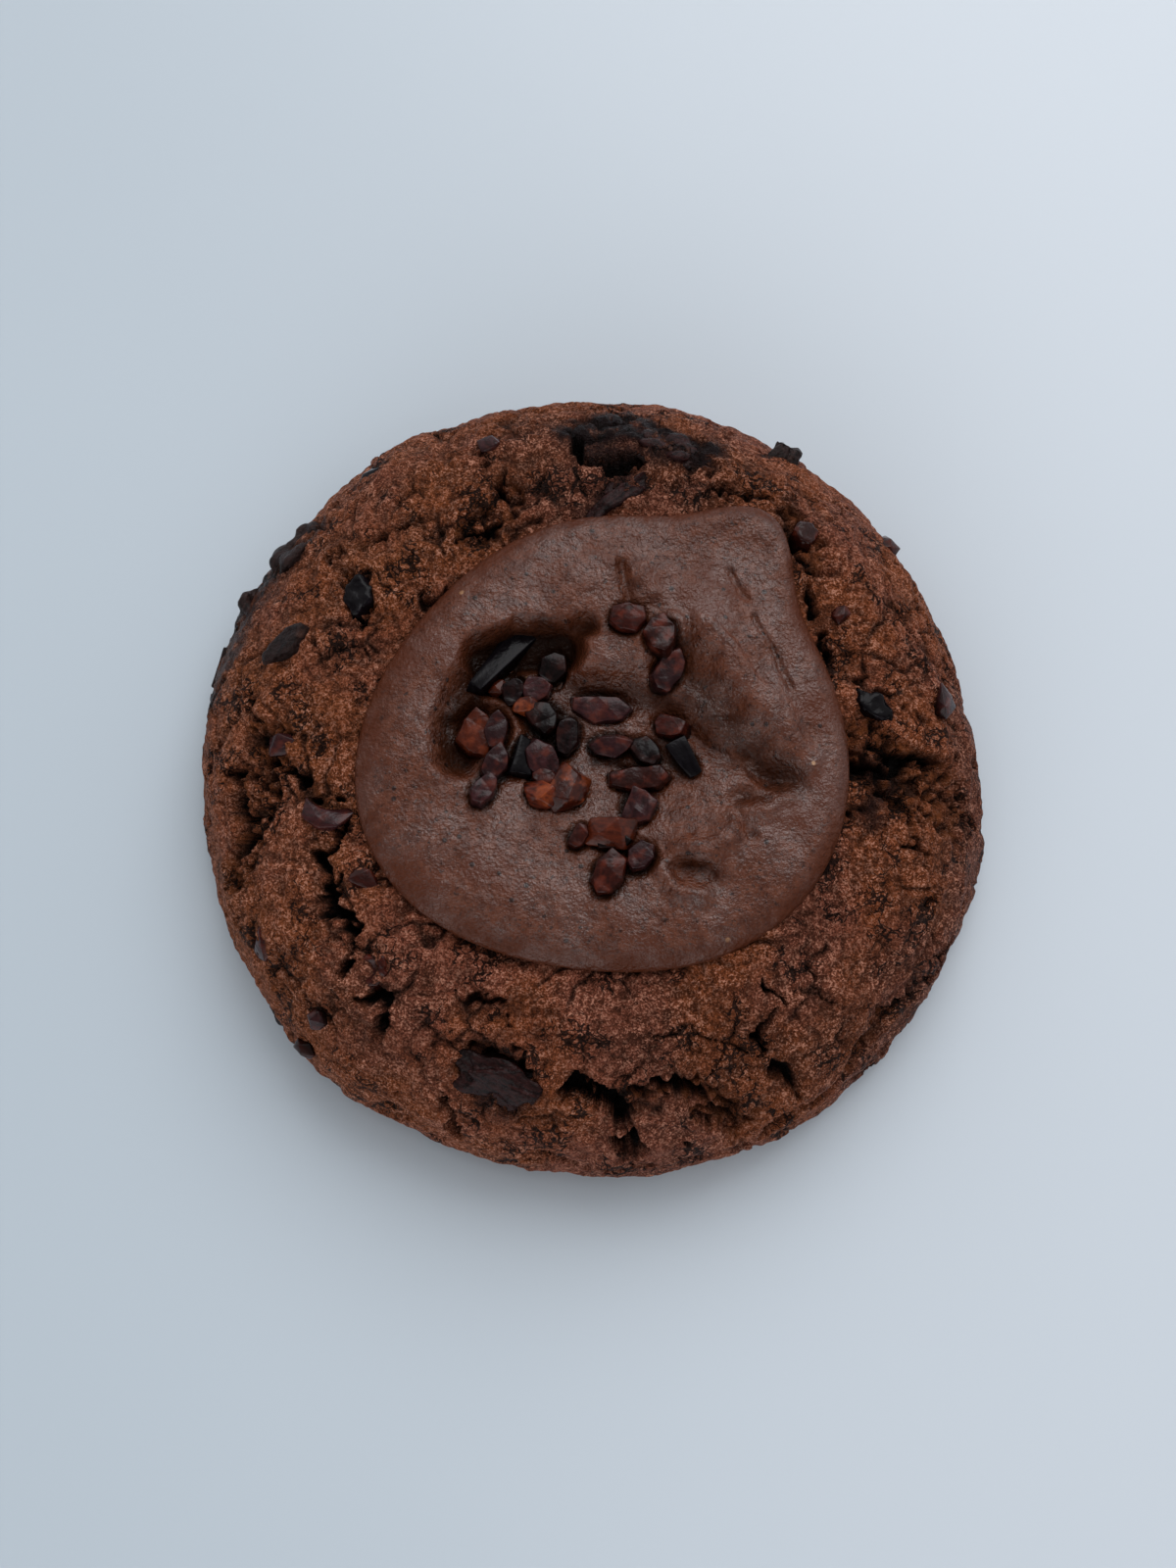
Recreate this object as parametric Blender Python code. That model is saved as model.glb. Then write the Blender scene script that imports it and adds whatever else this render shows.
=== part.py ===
"""A thick cocoa cookie with baked-in dark chocolate, cacao nibs and a pool of nut spread.

The origin is the middle of the flat underside, +Z is up, +Y is the far side of the cookie.
Tables are in millimetres. MM turns them into the metres of the finished meshes.
"""
import math
from typing import NamedTuple

import bmesh
import bpy
import numpy as np
from mathutils import Matrix, Vector, noise

MM = 0.001
WELD = 0.008

# Dough: the outline seen from above is a circle with a few slow waves.
COOKIE_RADIUS = 44.14
OUTLINE_WAVES = (
    # waves round the edge, height, turned by degrees
    (1, 0.14, 123.0),
    (2, 0.36, 55.0),
    (3, 0.34, 27.0),
    (4, 0.21, 44.0),
    (5, 0.12, 11.0),
    (6, 0.08, -3.0),
)
# Half section of the dough from the middle of the underside to the middle of the top: radius, height.
DOUGH_SECTION = (
    (0.0, 0.0),
    (24.0, 0.0),
    (40.6, 0.0),
    (42.6, 0.7),
    (43.8, 2.4),
    (44.14, 4.6),
    (43.7, 7.6),
    (42.4, 11.0),
    (40.2, 14.0),
    (37.0, 17.2),
    (32.5, 19.4),
    (28.0, 20.2),
    (23.0, 20.3),
    (12.0, 20.0),
    (0.0, 20.0),
)
SECTION_STEP = 0.62
SPIN_STEPS = 420
FLAT_BELOW = 0.25
DOUGH_TRIANGLES = 5200
# Slow swells, lumps and rough crust: wavelength, height.
DOUGH_SWELLS = ((15.0, 0.9), (6.0, 0.55), (2.4, 0.3))
WOBBLE_WAVELENGTH = 4.5
WOBBLE = 1.1


class Groove(NamedTuple):
    """A crack or a worn patch: the points it follows, its half width and how deep it goes."""

    path: tuple
    half_width: float
    depth: float


CRACKS = (
    Groove(((-29.6, 22.9, 16.8), (-25.9, 23.4, 18.2), (-19.8, 25.0, 19.5), (-16.7, 25.3, 19.7)), 0.8, 1.6),
    Groove(((-12.4, 33.9, 17.7), (-9.8, 30.0, 19.6), (-11.2, 24.5, 20.1), (-14.9, 23.5, 20.0)), 1.1, 1.9),
    Groove(((-14.9, 23.5, 20.0), (-15.2, 19.6, 20.3), (-17.2, 17.2, 20.3)), 0.8, 1.5),
    Groove(((-26.2, 16.2, 19.6), (-24.6, 12.1, 20.0), (-26.1, 10.3, 20.0)), 0.6, 1.2),
    Groove(((-37.0, 8.6, 16.2), (-37.0, 4.2, 17.0), (-36.4, 1.3, 17.6), (-32.3, -2.6, 19.3)), 0.7, 1.6),
    Groove(((-30.1, -5.1, 19.7), (-26.8, -5.4, 20.0), (-26.1, -7.8, 20.0), (-28.5, -11.1, 19.7)), 0.8, 1.8),
    Groove(((-28.5, -11.1, 19.7), (-28.5, -16.9, 19.0), (-25.8, -18.5, 19.5), (-26.0, -22.6, 18.4)), 1.1, 2.6),
    Groove(((-25.5, -25.6, 17.7), (-21.9, -25.8, 18.7), (-22.0, -30.6, 16.6)), 0.9, 2.0),
    Groove(((-18.2, -34.1, 15.5), (-15.8, -37.1, 13.7), (-15.0, -40.0, 9.0)), 1.1, 2.6),
    Groove(((-9.0, -29.2, 19.7), (-8.0, -33.7, 18.3)), 0.7, 1.4),
    Groove(((-2.5, -35.1, 18.1), (1.0, -35.7, 17.9), (3.4, -37.3, 16.8), (5.0, -39.8, 13.9)), 1.1, 2.4),
    Groove(((7.3, -34.7, 18.0), (11.6, -35.3, 17.2), (15.6, -37.9, 12.5)), 1.0, 2.0),
    Groove(((18.4, -25.5, 19.6), (19.6, -27.1, 18.9), (18.1, -29.6, 18.3), (21.7, -33.8, 13.9)), 0.8, 1.8),
    Groove(((39.6, -18.0, 7.0), (34.3, -24.1, 10.6), (31.1, -26.8, 12.4), (27.7, -31.3, 10.9)), 1.3, 2.4),
    Groove(((27.7, -31.3, 10.9), (25.1, -34.8, 8.8), (22.2, -36.1, 9.8), (17.0, -39.5, 8.0)), 1.1, 2.0),
    Groove(((26.5, -0.6, 20.1), (31.0, -1.0, 19.4), (38.0, 0.5, 15.5), (44.4, 2.0, 4.4)), 1.2, 2.2),
    Groove(((35.2, -8.8, 17.6), (36.3, -12.4, 16.2), (36.3, -14.8, 15.4)), 0.7, 1.5),
    Groove(((22.2, 26.0, 18.5), (23.9, 21.3, 19.5), (24.4, 16.2, 19.8), (27.0, 9.2, 19.9)), 1.1, 2.0),
    Groove(((27.0, 9.2, 19.9), (33.9, 6.4, 18.4), (36.5, 5.0, 17.0)), 0.7, 1.4),
    Groove(((12.9, 29.3, 19.5), (18.8, 30.1, 18.0), (21.3, 28.2, 18.0)), 0.9, 1.8),
    Groove(((6.0, 30.9, 19.6), (10.1, 31.4, 19.1), (12.6, 31.9, 18.5), (15.8, 34.9, 15.9)), 0.7, 1.5),
    Groove(((-1.6, 35.6, 17.9), (0.4, 35.0, 18.1), (2.4, 34.2, 18.5)), 1.6, 2.4),
    Groove(((-39.7, -1.0, 14.4), (-38.5, -8.7, 14.6), (-39.9, -13.5, 10.3)), 1.2, 2.2),
    Groove(((35.1, -9.8, 17.5), (30.5, -8.8, 19.4), (27.8, -6.2, 20.0)), 0.7, 1.6),
)
# Cracks that run down and along the flank below the shoulder, all round: degrees, height.
FLANK_CRACKS = (
    ((1.0, 15.0), (3.5, 10.0), (2.0, 5.5), (3.5, 2.5)),
    ((-7.5, 10.0), (-5.0, 6.0), (-6.5, 3.0)),
    ((-45.0, 8.0), (-43.0, 4.5), (-40.0, 3.0)),
    ((-68.0, 7.0), (-65.5, 4.0), (-66.5, 2.5)),
    ((158.0, 13.0), (156.0, 8.0), (160.0, 4.0)),
    ((176.0, 12.0), (183.0, 8.0), (190.0, 7.0)),
    ((205.0, 11.0), (212.0, 8.0), (214.0, 4.5)),
    ((238.0, 12.0), (241.0, 8.0), (238.0, 4.0)),
    ((262.0, 10.0), (270.0, 7.5), (279.0, 8.0)),
    ((283.0, 12.0), (286.0, 6.0)),
    ((330.0, 12.0), (338.0, 8.0), (345.0, 7.0)),
    ((12.0, 14.0), (15.0, 9.0), (13.0, 5.0)),
    ((26.0, 12.0), (34.0, 9.0), (40.0, 9.5)),
    ((68.0, 13.0), (70.0, 8.0), (67.0, 4.0)),
    ((84.0, 9.0), (96.0, 8.0), (101.0, 10.0)),
    ((113.0, 14.0), (115.0, 9.0), (111.0, 4.5)),
    ((131.0, 12.0), (136.0, 7.5)),
)
FLANK_CRACK_HALF_WIDTH = 0.8
FLANK_CRACK_DEPTH = 1.5
# Torn patches where the crust is gone and the crumb shows.
CRUMB_PATCHES = (
    Groove(((-36.0, 1.5, 17.6), (-37.4, -6.0, 15.6), (-38.0, -11.5, 13.0)), 4.2, 1.5),
    Groove(((29.5, 0.6, 19.7), (34.5, -2.5, 18.2), (40.0, -4.0, 14.0)), 5.4, 1.1),
    Groove(((-9.1, 29.5, 19.8), (-12.6, 24.5, 20.1)), 2.8, 1.0),
    Groove(((22.2, 27.4, 18.3), (25.4, 21.5, 19.1)), 2.6, 1.0),
    Groove(((3.7, -36.9, 17.0), (7.5, -35.4, 17.6)), 2.2, 1.0),
    Groove(((12.0, -36.1, 16.5), (16.0, -37.6, 13.0)), 2.6, 1.0),
    Groove(((31.5, -27.0, 11.5), (25.5, -34.5, 8.5)), 2.4, 1.0),
)
CRUMB_WAVELENGTH = 2.1
CRUMB_ROUGHNESS = 1.5
DENT = Groove(((-12.7, -26.2, 19.8), (-8.9, -27.7, 19.8), (-5.2, -29.4, 19.5)), 1.9, 1.1)

# Spread: the outline of the pool, its level and the seat it lies in.
SPREAD_RADIUS = 25.83
SPREAD_TIP = (54.0, 13.0, 5.96)
SPREAD_WAVES = ((1, 1.63, 22.0), (2, 0.82, 10.0), (3, 1.0, -37.0))
SEAT_HEIGHT = 18.6
SEAT_CLEARANCE = 0.4
GAP = 0.3
SPREAD_WALL = 1.5
# The edge is rounded over this width, more on the wide side: direction, share.
SPREAD_ROUNDING = 3.2
SPREAD_WIDE_SIDE = (200.0, 0.5)
SPREAD_FULLNESS = 0.72
SPREAD_LEVEL = 21.8
SPREAD_THIN_SIDE = (115.0, 0.4)
# The pool is highest along a broad ring: radius, width, height.
SPREAD_RING = (17.0, 7.0, 1.3)
SPREAD_RINGS = 50
SPREAD_STEPS = 220
SPREAD_TRIANGLES = 3000
SPREAD_SWELLS = ((9.0, 0.3), (3.5, 0.22))


class Stroke(NamedTuple):
    """A mark of the spoon in the spread: its path in plan, half width, softness and rise."""

    path: tuple
    half_width: float
    softness: float
    rise: float


BOWLS = (
    Stroke(((-8.5, 3.5), (-2.0, 2.5), (5.0, 0.5), (12.0, -1.5)), 5.5, 4.0, -1.3),
    Stroke(((9.0, 3.5), (14.0, 0.0), (18.5, -2.4)), 3.0, 3.0, -1.0),
)
HOLLOWS = (
    Stroke(((-11.3, 10.2), (-8.0, 11.8), (-3.0, 12.0), (-0.5, 13.2)), 1.9, 1.2, -2.9),
    Stroke(((-14.4, -0.5), (-14.6, 3.0), (-12.6, 7.6), (-9.5, 9.0)), 2.1, 1.3, -2.2),
    Stroke(((-5.0, 8.4), (-1.5, 6.8), (3.0, 6.2), (6.5, 6.0), (9.6, 4.2)), 1.6, 1.2, -1.3),
    Stroke(((-3.4, 9.6), (-2.6, 11.6)), 0.9, 0.8, -1.8),
    Stroke(((9.5, 3.0), (13.0, 0.8), (17.2, -1.3), (20.2, -3.0)), 1.4, 1.1, -1.8),
    Stroke(((3.0, 20.6), (3.7, 18.2), (3.9, 16.2)), 0.6, 0.7, -0.8),
)
RIDGES = (
    Stroke(((8.6, 13.0), (5.0, 11.2), (1.2, 11.2), (-0.6, 11.2)), 1.9, 0.8, 0.9),
    Stroke(((5.7, 19.5), (6.6, 17.6)), 1.1, 0.9, 0.5),
    Stroke(((-15.0, 4.6), (-12.4, 6.4), (-9.4, 5.0), (-8.2, 2.2), (-8.6, -0.6)), 0.6, 0.6, 0.9),
    Stroke(((20.4, -4.0), (17.6, -5.0), (15.2, -6.6), (14.3, -9.0)), 0.9, 0.7, 0.8),
    Stroke(((14.3, -9.0), (12.3, -10.4), (9.3, -10.8)), 0.9, 0.7, 0.8),
    Stroke(((9.3, -10.8), (8.2, -12.9), (9.6, -14.6), (12.2, -15.0)), 0.9, 0.7, 0.8),
    Stroke(((10.0, 15.0), (14.6, 9.4), (19.4, 4.4), (22.4, -0.6)), 2.4, 2.2, 0.7),
)
FURROWS = (
    Stroke(((15.0, 20.3), (15.8, 17.8), (16.7, 16.7)), 0.3, 0.35, -0.5),
    Stroke(((17.6, 14.9), (19.3, 11.0), (20.4, 8.1), (21.3, 6.7)), 0.3, 0.35, -0.5),
    Stroke(((13.8, 14.2), (16.6, 10.4), (18.8, 7.4)), 0.3, 0.35, -0.35),
    Stroke(((15.6, -7.0), (16.6, -8.0), (17.0, -9.4)), 0.5, 0.5, -0.5),
    Stroke(((10.4, -12.6), (12.2, -12.4), (13.0, -13.4)), 0.4, 0.5, -0.5),
)


class Topping(NamedTuple):
    """A nib or a sliver that lies on the spread or the crust: plan place, length, width, turn."""

    x: float
    y: float
    length: float
    width: float
    turn: float


NIBS_ON_SPREAD = (
    Topping(3.9, 14.4, 3.8, 3.6, 0.0),
    Topping(7.5, 12.5, 4.3, 3.5, 100.0),
    Topping(8.3, 8.8, 4.9, 3.0, 58.0),
    Topping(1.1, 5.3, 6.0, 3.3, -8.0),
    Topping(8.5, 2.9, 3.6, 2.8, -30.0),
    Topping(10.0, -0.6, 3.8, 2.4, -60.0),
    Topping(2.0, 0.9, 4.7, 2.7, 0.0),
    Topping(5.9, 0.2, 3.6, 2.5, -35.0),
    Topping(5.1, -2.8, 6.1, 2.8, 2.0),
    Topping(4.9, -6.0, 4.2, 3.4, 70.0),
    Topping(-2.6, -4.3, 4.0, 3.3, 60.0),
    Topping(-5.5, -4.8, 2.9, 2.4, -15.0),
    Topping(-5.2, -0.6, 4.2, 3.6, -50.0),
    Topping(-5.2, -2.7, 3.2, 1.9, 0.0),
    Topping(-7.7, -0.4, 4.2, 2.1, 80.0),
    Topping(-10.5, -1.3, 4.1, 3.1, 65.0),
    Topping(-11.8, -4.7, 3.4, 2.7, 75.0),
    Topping(-12.1, 2.3, 5.0, 3.4, 92.0),
    Topping(-10.3, 2.4, 4.0, 2.6, 88.0),
    Topping(-10.2, 10.0, 8.0, 3.3, 52.0),
    Topping(-4.3, 9.5, 4.0, 2.9, 70.0),
    Topping(-10.1, 7.5, 1.9, 1.5, 30.0),
    Topping(-6.0, 7.0, 3.2, 2.7, 20.0),
    Topping(-8.4, 6.7, 3.0, 2.5, 60.0),
    Topping(-7.0, 5.1, 2.4, 1.6, 5.0),
    Topping(-5.3, 3.8, 3.9, 3.5, -50.0),
    Topping(-2.8, 1.9, 4.7, 2.9, 78.0),
    Topping(-1.4, -9.5, 2.8, 2.1, 60.0),
    Topping(2.1, -9.1, 4.7, 2.8, -5.0),
    Topping(2.4, -10.0, 3.6, 2.0, -5.0),
    Topping(1.7, -13.7, 4.5, 3.4, 75.0),
    Topping(5.1, -11.8, 3.9, 3.1, 45.0),
)
NIBS_ON_DOUGH = (
    Topping(-33.7, 1.5, 2.6, 2.2, 10.0),
    Topping(-29.8, -28.1, 2.2, 1.8, 40.0),
    Topping(27.3, 16.1, 2.2, 1.8, 20.0),
    Topping(-11.4, 36.0, 2.6, 2.4, 0.0),
    Topping(39.0, 7.1, 3.6, 3.0, 60.0),
    Topping(-31.5, -30.5, 2.6, 2.0, 100.0),
    Topping(33.5, 26.5, 2.8, 2.2, 30.0),
    Topping(-24.5, -13.6, 3.0, 2.2, 120.0),
)
NIB_HEIGHT = 2.4
NIB_RISE = 0.55


class Chunk(NamedTuple):
    """A piece baked into the dough: its middle, its size, its turn on the surface, rounded or not."""

    name: str
    at: tuple
    size: tuple
    turn: float
    rounded: bool


CHUNKS = (
    Chunk("chocolate_leaf_far_left", (-24.6, 33.9, 12.6), (4.2, 2.4, 2.6), 60.0, False),
    Chunk("chocolate_hook_left", (-25.7, 18.3, 19.2), (5.2, 3.6, 3.2), 115.0, False),
    Chunk("chocolate_block_left", (-33.6, 12.7, 17.8), (5.8, 3.9, 3.2), -130.0, False),
    Chunk("nib_half_moon", (-28.5, -6.3, 19.6), (4.2, 2.5, 2.6), -20.0, False),
    Chunk("nib_red_lower_left", (-23.8, -23.7, 18.2), (5.8, 4.4, 3.2), 165.0, False),
    Chunk("nib_in_hole", (-36.1, -19.6, 12.9), (4.4, 3.8, 3.2), 30.0, False),
    Chunk("chocolate_wedge_right", (31.2, 6.3, 18.7), (5.2, 3.6, 3.2), -45.0, False),
    Chunk("nib_upper_right", (23.7, 25.2, 18.2), (4.2, 3.4, 3.2), 20.0, False),
    Chunk("chocolate_melt_near", (-9.9, -35.5, 17.2), (10.8, 5.8, 4.0), 82.0, True),
    Chunk("chocolate_melt_far", (8.4, 36.6, 16.5), (7.4, 5.6, 3.4), -84.0, True),
    Chunk("chocolate_smear_far", (3.6, 30.0, 19.5), (8.4, 3.4, 2.8), -46.0, True),
    Chunk("chocolate_lump_flank_high", (-33.8, 25.9, 9.8), (7.6, 6.4, 5.6), 70.0, True),
    Chunk("chocolate_lump_flank_low", (-38.9, 20.0, 6.0), (6.6, 6.0, 5.6), 80.0, True),
    Chunk("chocolate_chunk_edge_far_right", (22.2, 37.6, 8.6), (4.8, 4.2, 4.6), 20.0, False),
    Chunk("chocolate_sliver_left_edge", (-41.9, 13.0, 5.0), (5.0, 3.4, 3.6), 84.0, False),
    Chunk("chocolate_at_near_foot", (-0.5, -42.4, 2.9), (8.0, 3.6, 3.4), 90.0, False),
    Chunk("chocolate_at_left_foot", (-33.8, -27.4, 3.4), (8.0, 3.8, 3.4), 88.0, False),
)
POCKET_CLEARANCE = 0.45
# Share of its height by which a baked-in piece's middle lies below the crust.
CHUNK_SINK = 0.24
# How far the dough's surface leans out from level at a radius, in degrees.
LEAN = ((26.0, 0.0), (32.0, 16.0), (37.0, 40.0), (40.5, 55.0), (43.0, 76.0), (44.2, 92.0))

CRUST_COLOUR = (0.094, 0.033, 0.018, 1.0)
SPREAD_COLOUR = (0.085, 0.042, 0.032, 1.0)
CHOCOLATE_COLOUR = (0.010, 0.006, 0.007, 1.0)
NIB_COLOUR = (0.045, 0.010, 0.008, 1.0)


def clear_scene():
    """Remove every object that the new scene starts with."""
    for item in list(bpy.data.objects):
        bpy.data.objects.remove(item, do_unlink=True)


def material(name, colour, roughness):
    """A plain opaque food surface."""
    made = bpy.data.materials.new(name)
    made.use_nodes = True
    shader = made.node_tree.nodes["Principled BSDF"]
    shader.inputs["Base Color"].default_value = colour
    shader.inputs["Roughness"].default_value = roughness
    shader.inputs["Metallic"].default_value = 0.0
    return made


def object_from(bm, name):
    """Close a bmesh that was worked out in millimetres into an object in metres."""
    bmesh.ops.recalc_face_normals(bm, faces=bm.faces)
    bmesh.ops.scale(bm, vec=(MM, MM, MM), verts=bm.verts)
    mesh = bpy.data.meshes.new(name)
    bm.to_mesh(mesh)
    bm.free()
    made = bpy.data.objects.new(name, mesh)
    bpy.context.scene.collection.objects.link(made)
    return made


def apply_modifiers(target):
    """Replace the object's mesh by the one its modifiers make."""
    evaluated = target.evaluated_get(bpy.context.evaluated_depsgraph_get())
    mesh = bpy.data.meshes.new_from_object(evaluated)
    target.modifiers.clear()
    target.data = mesh
    mesh.name = target.name


def decimate(target, triangles):
    """Let flat stretches have large faces and keep small ones for the relief."""
    thinning = target.modifiers.new("thinning", "DECIMATE")
    target.data.calc_loop_triangles()
    thinning.ratio = triangles / len(target.data.loop_triangles)
    apply_modifiers(target)


def weld_slivers(target):
    """Merge the corners that a Boolean leaves closer together than the weld distance."""
    bm = bmesh.new()
    bm.from_mesh(target.data)
    bmesh.ops.triangulate(bm, faces=bm.faces)
    bmesh.ops.remove_doubles(bm, verts=bm.verts, dist=WELD * MM)
    bm.to_mesh(target.data)
    bm.free()


def combine(target, others, operation):
    """One exact Boolean of the object with all the others, which are then removed."""
    group = bpy.data.collections.new(operation.lower())
    for other in others:
        group.objects.link(other)
    boolean = target.modifiers.new(operation.lower(), "BOOLEAN")
    boolean.operation = operation
    boolean.operand_type = "COLLECTION"
    boolean.collection = group
    boolean.solver = "EXACT"
    apply_modifiers(target)
    weld_slivers(target)
    for other in others:
        bpy.data.objects.remove(other, do_unlink=True)
    bpy.data.collections.remove(group)


def path_distance(points, path):
    """Distance from each point to the nearest place on a path of straight runs."""
    nearest = np.full(len(points), np.inf)
    for start, end in zip(np.array(path[:-1]), np.array(path[1:])):
        along = end - start
        share = np.clip((points - start) @ along / (along @ along), 0.0, 1.0)
        gap = np.linalg.norm(points - start - share[:, None] * along, axis=1)
        nearest = np.minimum(nearest, gap)
    return nearest


def falloff(distance, half_width, softness):
    """1 inside the half width, down to 0 over twice the softness round it, with no corner."""
    share = np.clip((half_width + softness - distance) / (2.0 * softness), 0.0, 1.0)
    return share * share * (3.0 - 2.0 * share)


def noise_at(points, wavelength, seed):
    """Smooth noise between about -1 and 1 at every point."""
    shift = Vector((17.3 * seed, -9.1 * seed, 5.7 * seed))
    return np.array([noise.noise(Vector(point) / wavelength + shift) for point in points])


def wobbled(points, seed):
    """Points moved by noise, so that what is measured from them has ragged sides."""
    moves = [noise_at(points, WOBBLE_WAVELENGTH, seed + axis) for axis in range(points.shape[1])]
    return points + WOBBLE * np.stack(moves, axis=1)


def deepest(points, grooves, softness_share):
    """How deep the deepest of the grooves is at each point."""
    depth = np.zeros(len(points))
    for groove in grooves:
        reach = path_distance(points, groove.path)
        soft = groove.half_width * softness_share
        depth = np.maximum(depth, groove.depth * falloff(reach, groove.half_width * 0.6, soft))
    return depth


def outline_factor(angle):
    """How far the dough's edge is from a true circle at an angle, as a factor."""
    radius = np.full_like(angle, COOKIE_RADIUS)
    for count, height, turned in OUTLINE_WAVES:
        radius += height * np.cos(count * (angle + math.radians(turned)))
    return radius / COOKIE_RADIUS


def section_points():
    """The dough's half section with points close enough together for the relief."""
    corners = np.array(DOUGH_SECTION)
    lengths = np.linalg.norm(np.diff(corners, axis=0), axis=1)
    travelled = np.concatenate(([0.0], np.cumsum(lengths)))
    relief_from = travelled[2]
    relief_to = travelled[-3]
    fine = np.arange(relief_from, relief_to, SECTION_STEP)
    stops = np.concatenate((travelled[:2], fine, travelled[-3:]))
    return [(np.interp(s, travelled, corners[:, 0]), np.interp(s, travelled, corners[:, 1])) for s in stops]


def turned_solid(section, steps):
    """Spin a half section, given from axis to axis, into a closed solid."""
    bm = bmesh.new()
    verts = [bm.verts.new((radius, 0.0, height)) for radius, height in section]
    edges = [bm.edges.new(pair) for pair in zip(verts[:-1], verts[1:])]
    bmesh.ops.spin(
        bm,
        geom=verts + edges,
        cent=(0.0, 0.0, 0.0),
        axis=(0.0, 0.0, 1.0),
        angle=2.0 * math.pi,
        steps=steps,
        use_merge=True,
    )
    bmesh.ops.remove_doubles(bm, verts=bm.verts, dist=1e-4)
    bmesh.ops.recalc_face_normals(bm, faces=bm.faces)
    return bm


def flank_path(stops):
    """A path of degrees and heights, laid on the dough's side."""
    heights = [height for radius, height in DOUGH_SECTION[3:-3]]
    radii = [radius for radius, height in DOUGH_SECTION[3:-3]]
    path = []
    for degrees, height in stops:
        radius = np.interp(height, heights, radii)
        angle = math.radians(degrees)
        path.append((radius * math.cos(angle), radius * math.sin(angle), height))
    return tuple(path)


def dough_relief(points):
    """How far the crust stands proud of the turned dough at each point."""
    relief = np.zeros(len(points))
    for seed, (wavelength, height) in enumerate(DOUGH_SWELLS):
        relief += height * noise_at(points, wavelength, seed)
    ragged = wobbled(points, 11)
    flank = [
        Groove(flank_path(stops), FLANK_CRACK_HALF_WIDTH, FLANK_CRACK_DEPTH) for stops in FLANK_CRACKS
    ]
    crumb = deepest(ragged, CRUMB_PATCHES, 0.45)
    torn = np.clip(crumb, 0.0, 1.0)
    relief -= crumb
    relief += torn * CRUMB_ROUGHNESS * noise_at(points, CRUMB_WAVELENGTH, 7)
    relief -= deepest(ragged, CRACKS, 0.8)
    relief -= deepest(ragged, flank, 0.8)
    relief -= deepest(points, (DENT,), 0.8)
    return relief


def make_dough():
    """The baked dough: a turned solid with swells, cracks, torn crumb and an uneven edge."""
    bm = turned_solid(section_points(), SPIN_STEPS)
    points = np.array([vert.co for vert in bm.verts])
    normals = np.array([vert.normal for vert in bm.verts])
    above_base = falloff(2.0 - points[:, 2], 0.0, 1.6)
    moved = points + normals * (dough_relief(points) * above_base)[:, None]
    moved[:, :2] *= outline_factor(np.arctan2(points[:, 1], points[:, 0]))[:, None]
    for vert, place in zip(bm.verts, moved):
        vert.co = place
    dough = object_from(bm, "cookie")
    decimate(dough, DOUGH_TRIANGLES)
    for vert in dough.data.vertices:
        if vert.co.z < FLAT_BELOW * MM:
            vert.co.z = 0.0
    return dough


def spread_radius(angle):
    """Radius of the pool's edge at an angle, with the tip that ran out at one side."""
    middle, width, reach = SPREAD_TIP
    away = np.degrees(np.angle(np.exp(1j * (angle - math.radians(middle)))))
    radius = SPREAD_RADIUS + reach * np.exp(-((away / width) ** 2))
    for count, height, turned in SPREAD_WAVES:
        radius += height * np.cos(count * (angle - math.radians(turned)))
    return radius


def strongest(plan, strokes):
    """The rise of the strongest of the strokes at each plan point."""
    rise = np.zeros(len(plan))
    for stroke in strokes:
        own = stroke.rise * falloff(path_distance(plan, stroke.path), stroke.half_width, stroke.softness)
        rise = np.where(np.abs(own) > np.abs(rise), own, rise)
    return rise


def spread_top(plan):
    """Height of the spread's upper face over each plan point, before its edge is rounded."""
    angle = np.arctan2(plan[:, 1], plan[:, 0])
    distance = np.linalg.norm(plan, axis=1)
    thin_at, thin_by = SPREAD_THIN_SIDE
    ring_at, ring_width, ring_height = SPREAD_RING
    height = SPREAD_LEVEL - thin_by * np.cos(angle - math.radians(thin_at)) * distance / SPREAD_RADIUS
    height += ring_height * np.exp(-(((distance - ring_at) / ring_width) ** 2))
    for strokes in (BOWLS, HOLLOWS, RIDGES, FURROWS):
        height += strongest(plan, strokes)
    solid_plan = np.column_stack((plan, np.zeros(len(plan))))
    for seed, (wavelength, swell) in enumerate(SPREAD_SWELLS):
        height += swell * noise_at(solid_plan, wavelength, seed + 20)
    return height


def make_spread():
    """The pool of spread: flat beneath, a short upright side, a rounded edge and a scooped top."""
    base = SEAT_HEIGHT + GAP
    shares = np.linspace(0.0, 1.0, SPREAD_RINGS)
    section = [(0.0, 0.0), (0.5, 0.0), (1.0, 0.0)]
    section += [(share, 1.0) for share in shares[::-1]]
    bm = turned_solid(section, SPREAD_STEPS)
    points = np.array([vert.co for vert in bm.verts])
    angle = np.arctan2(points[:, 1], points[:, 0])
    edge = spread_radius(angle)
    plan = points[:, :2] * edge[:, None]
    inward = edge - np.linalg.norm(plan, axis=1)
    wide_at, wide_by = SPREAD_WIDE_SIDE
    reach = SPREAD_ROUNDING * (1.0 + wide_by * np.cos(angle - math.radians(wide_at)))
    round_share = 1.0 - np.clip(inward / reach, 0.0, 1.0)
    rounding = (1.0 - round_share**2) ** SPREAD_FULLNESS
    wall_top = base + SPREAD_WALL
    upper = wall_top + (spread_top(plan) - wall_top) * rounding
    heights = np.where(points[:, 2] > 0.5, upper, base)
    for vert, place, height in zip(bm.verts, plan, heights):
        vert.co = (place[0], place[1], height)
    spread = object_from(bm, "chocolate_spread")
    decimate(spread, SPREAD_TRIANGLES)
    return spread


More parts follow.
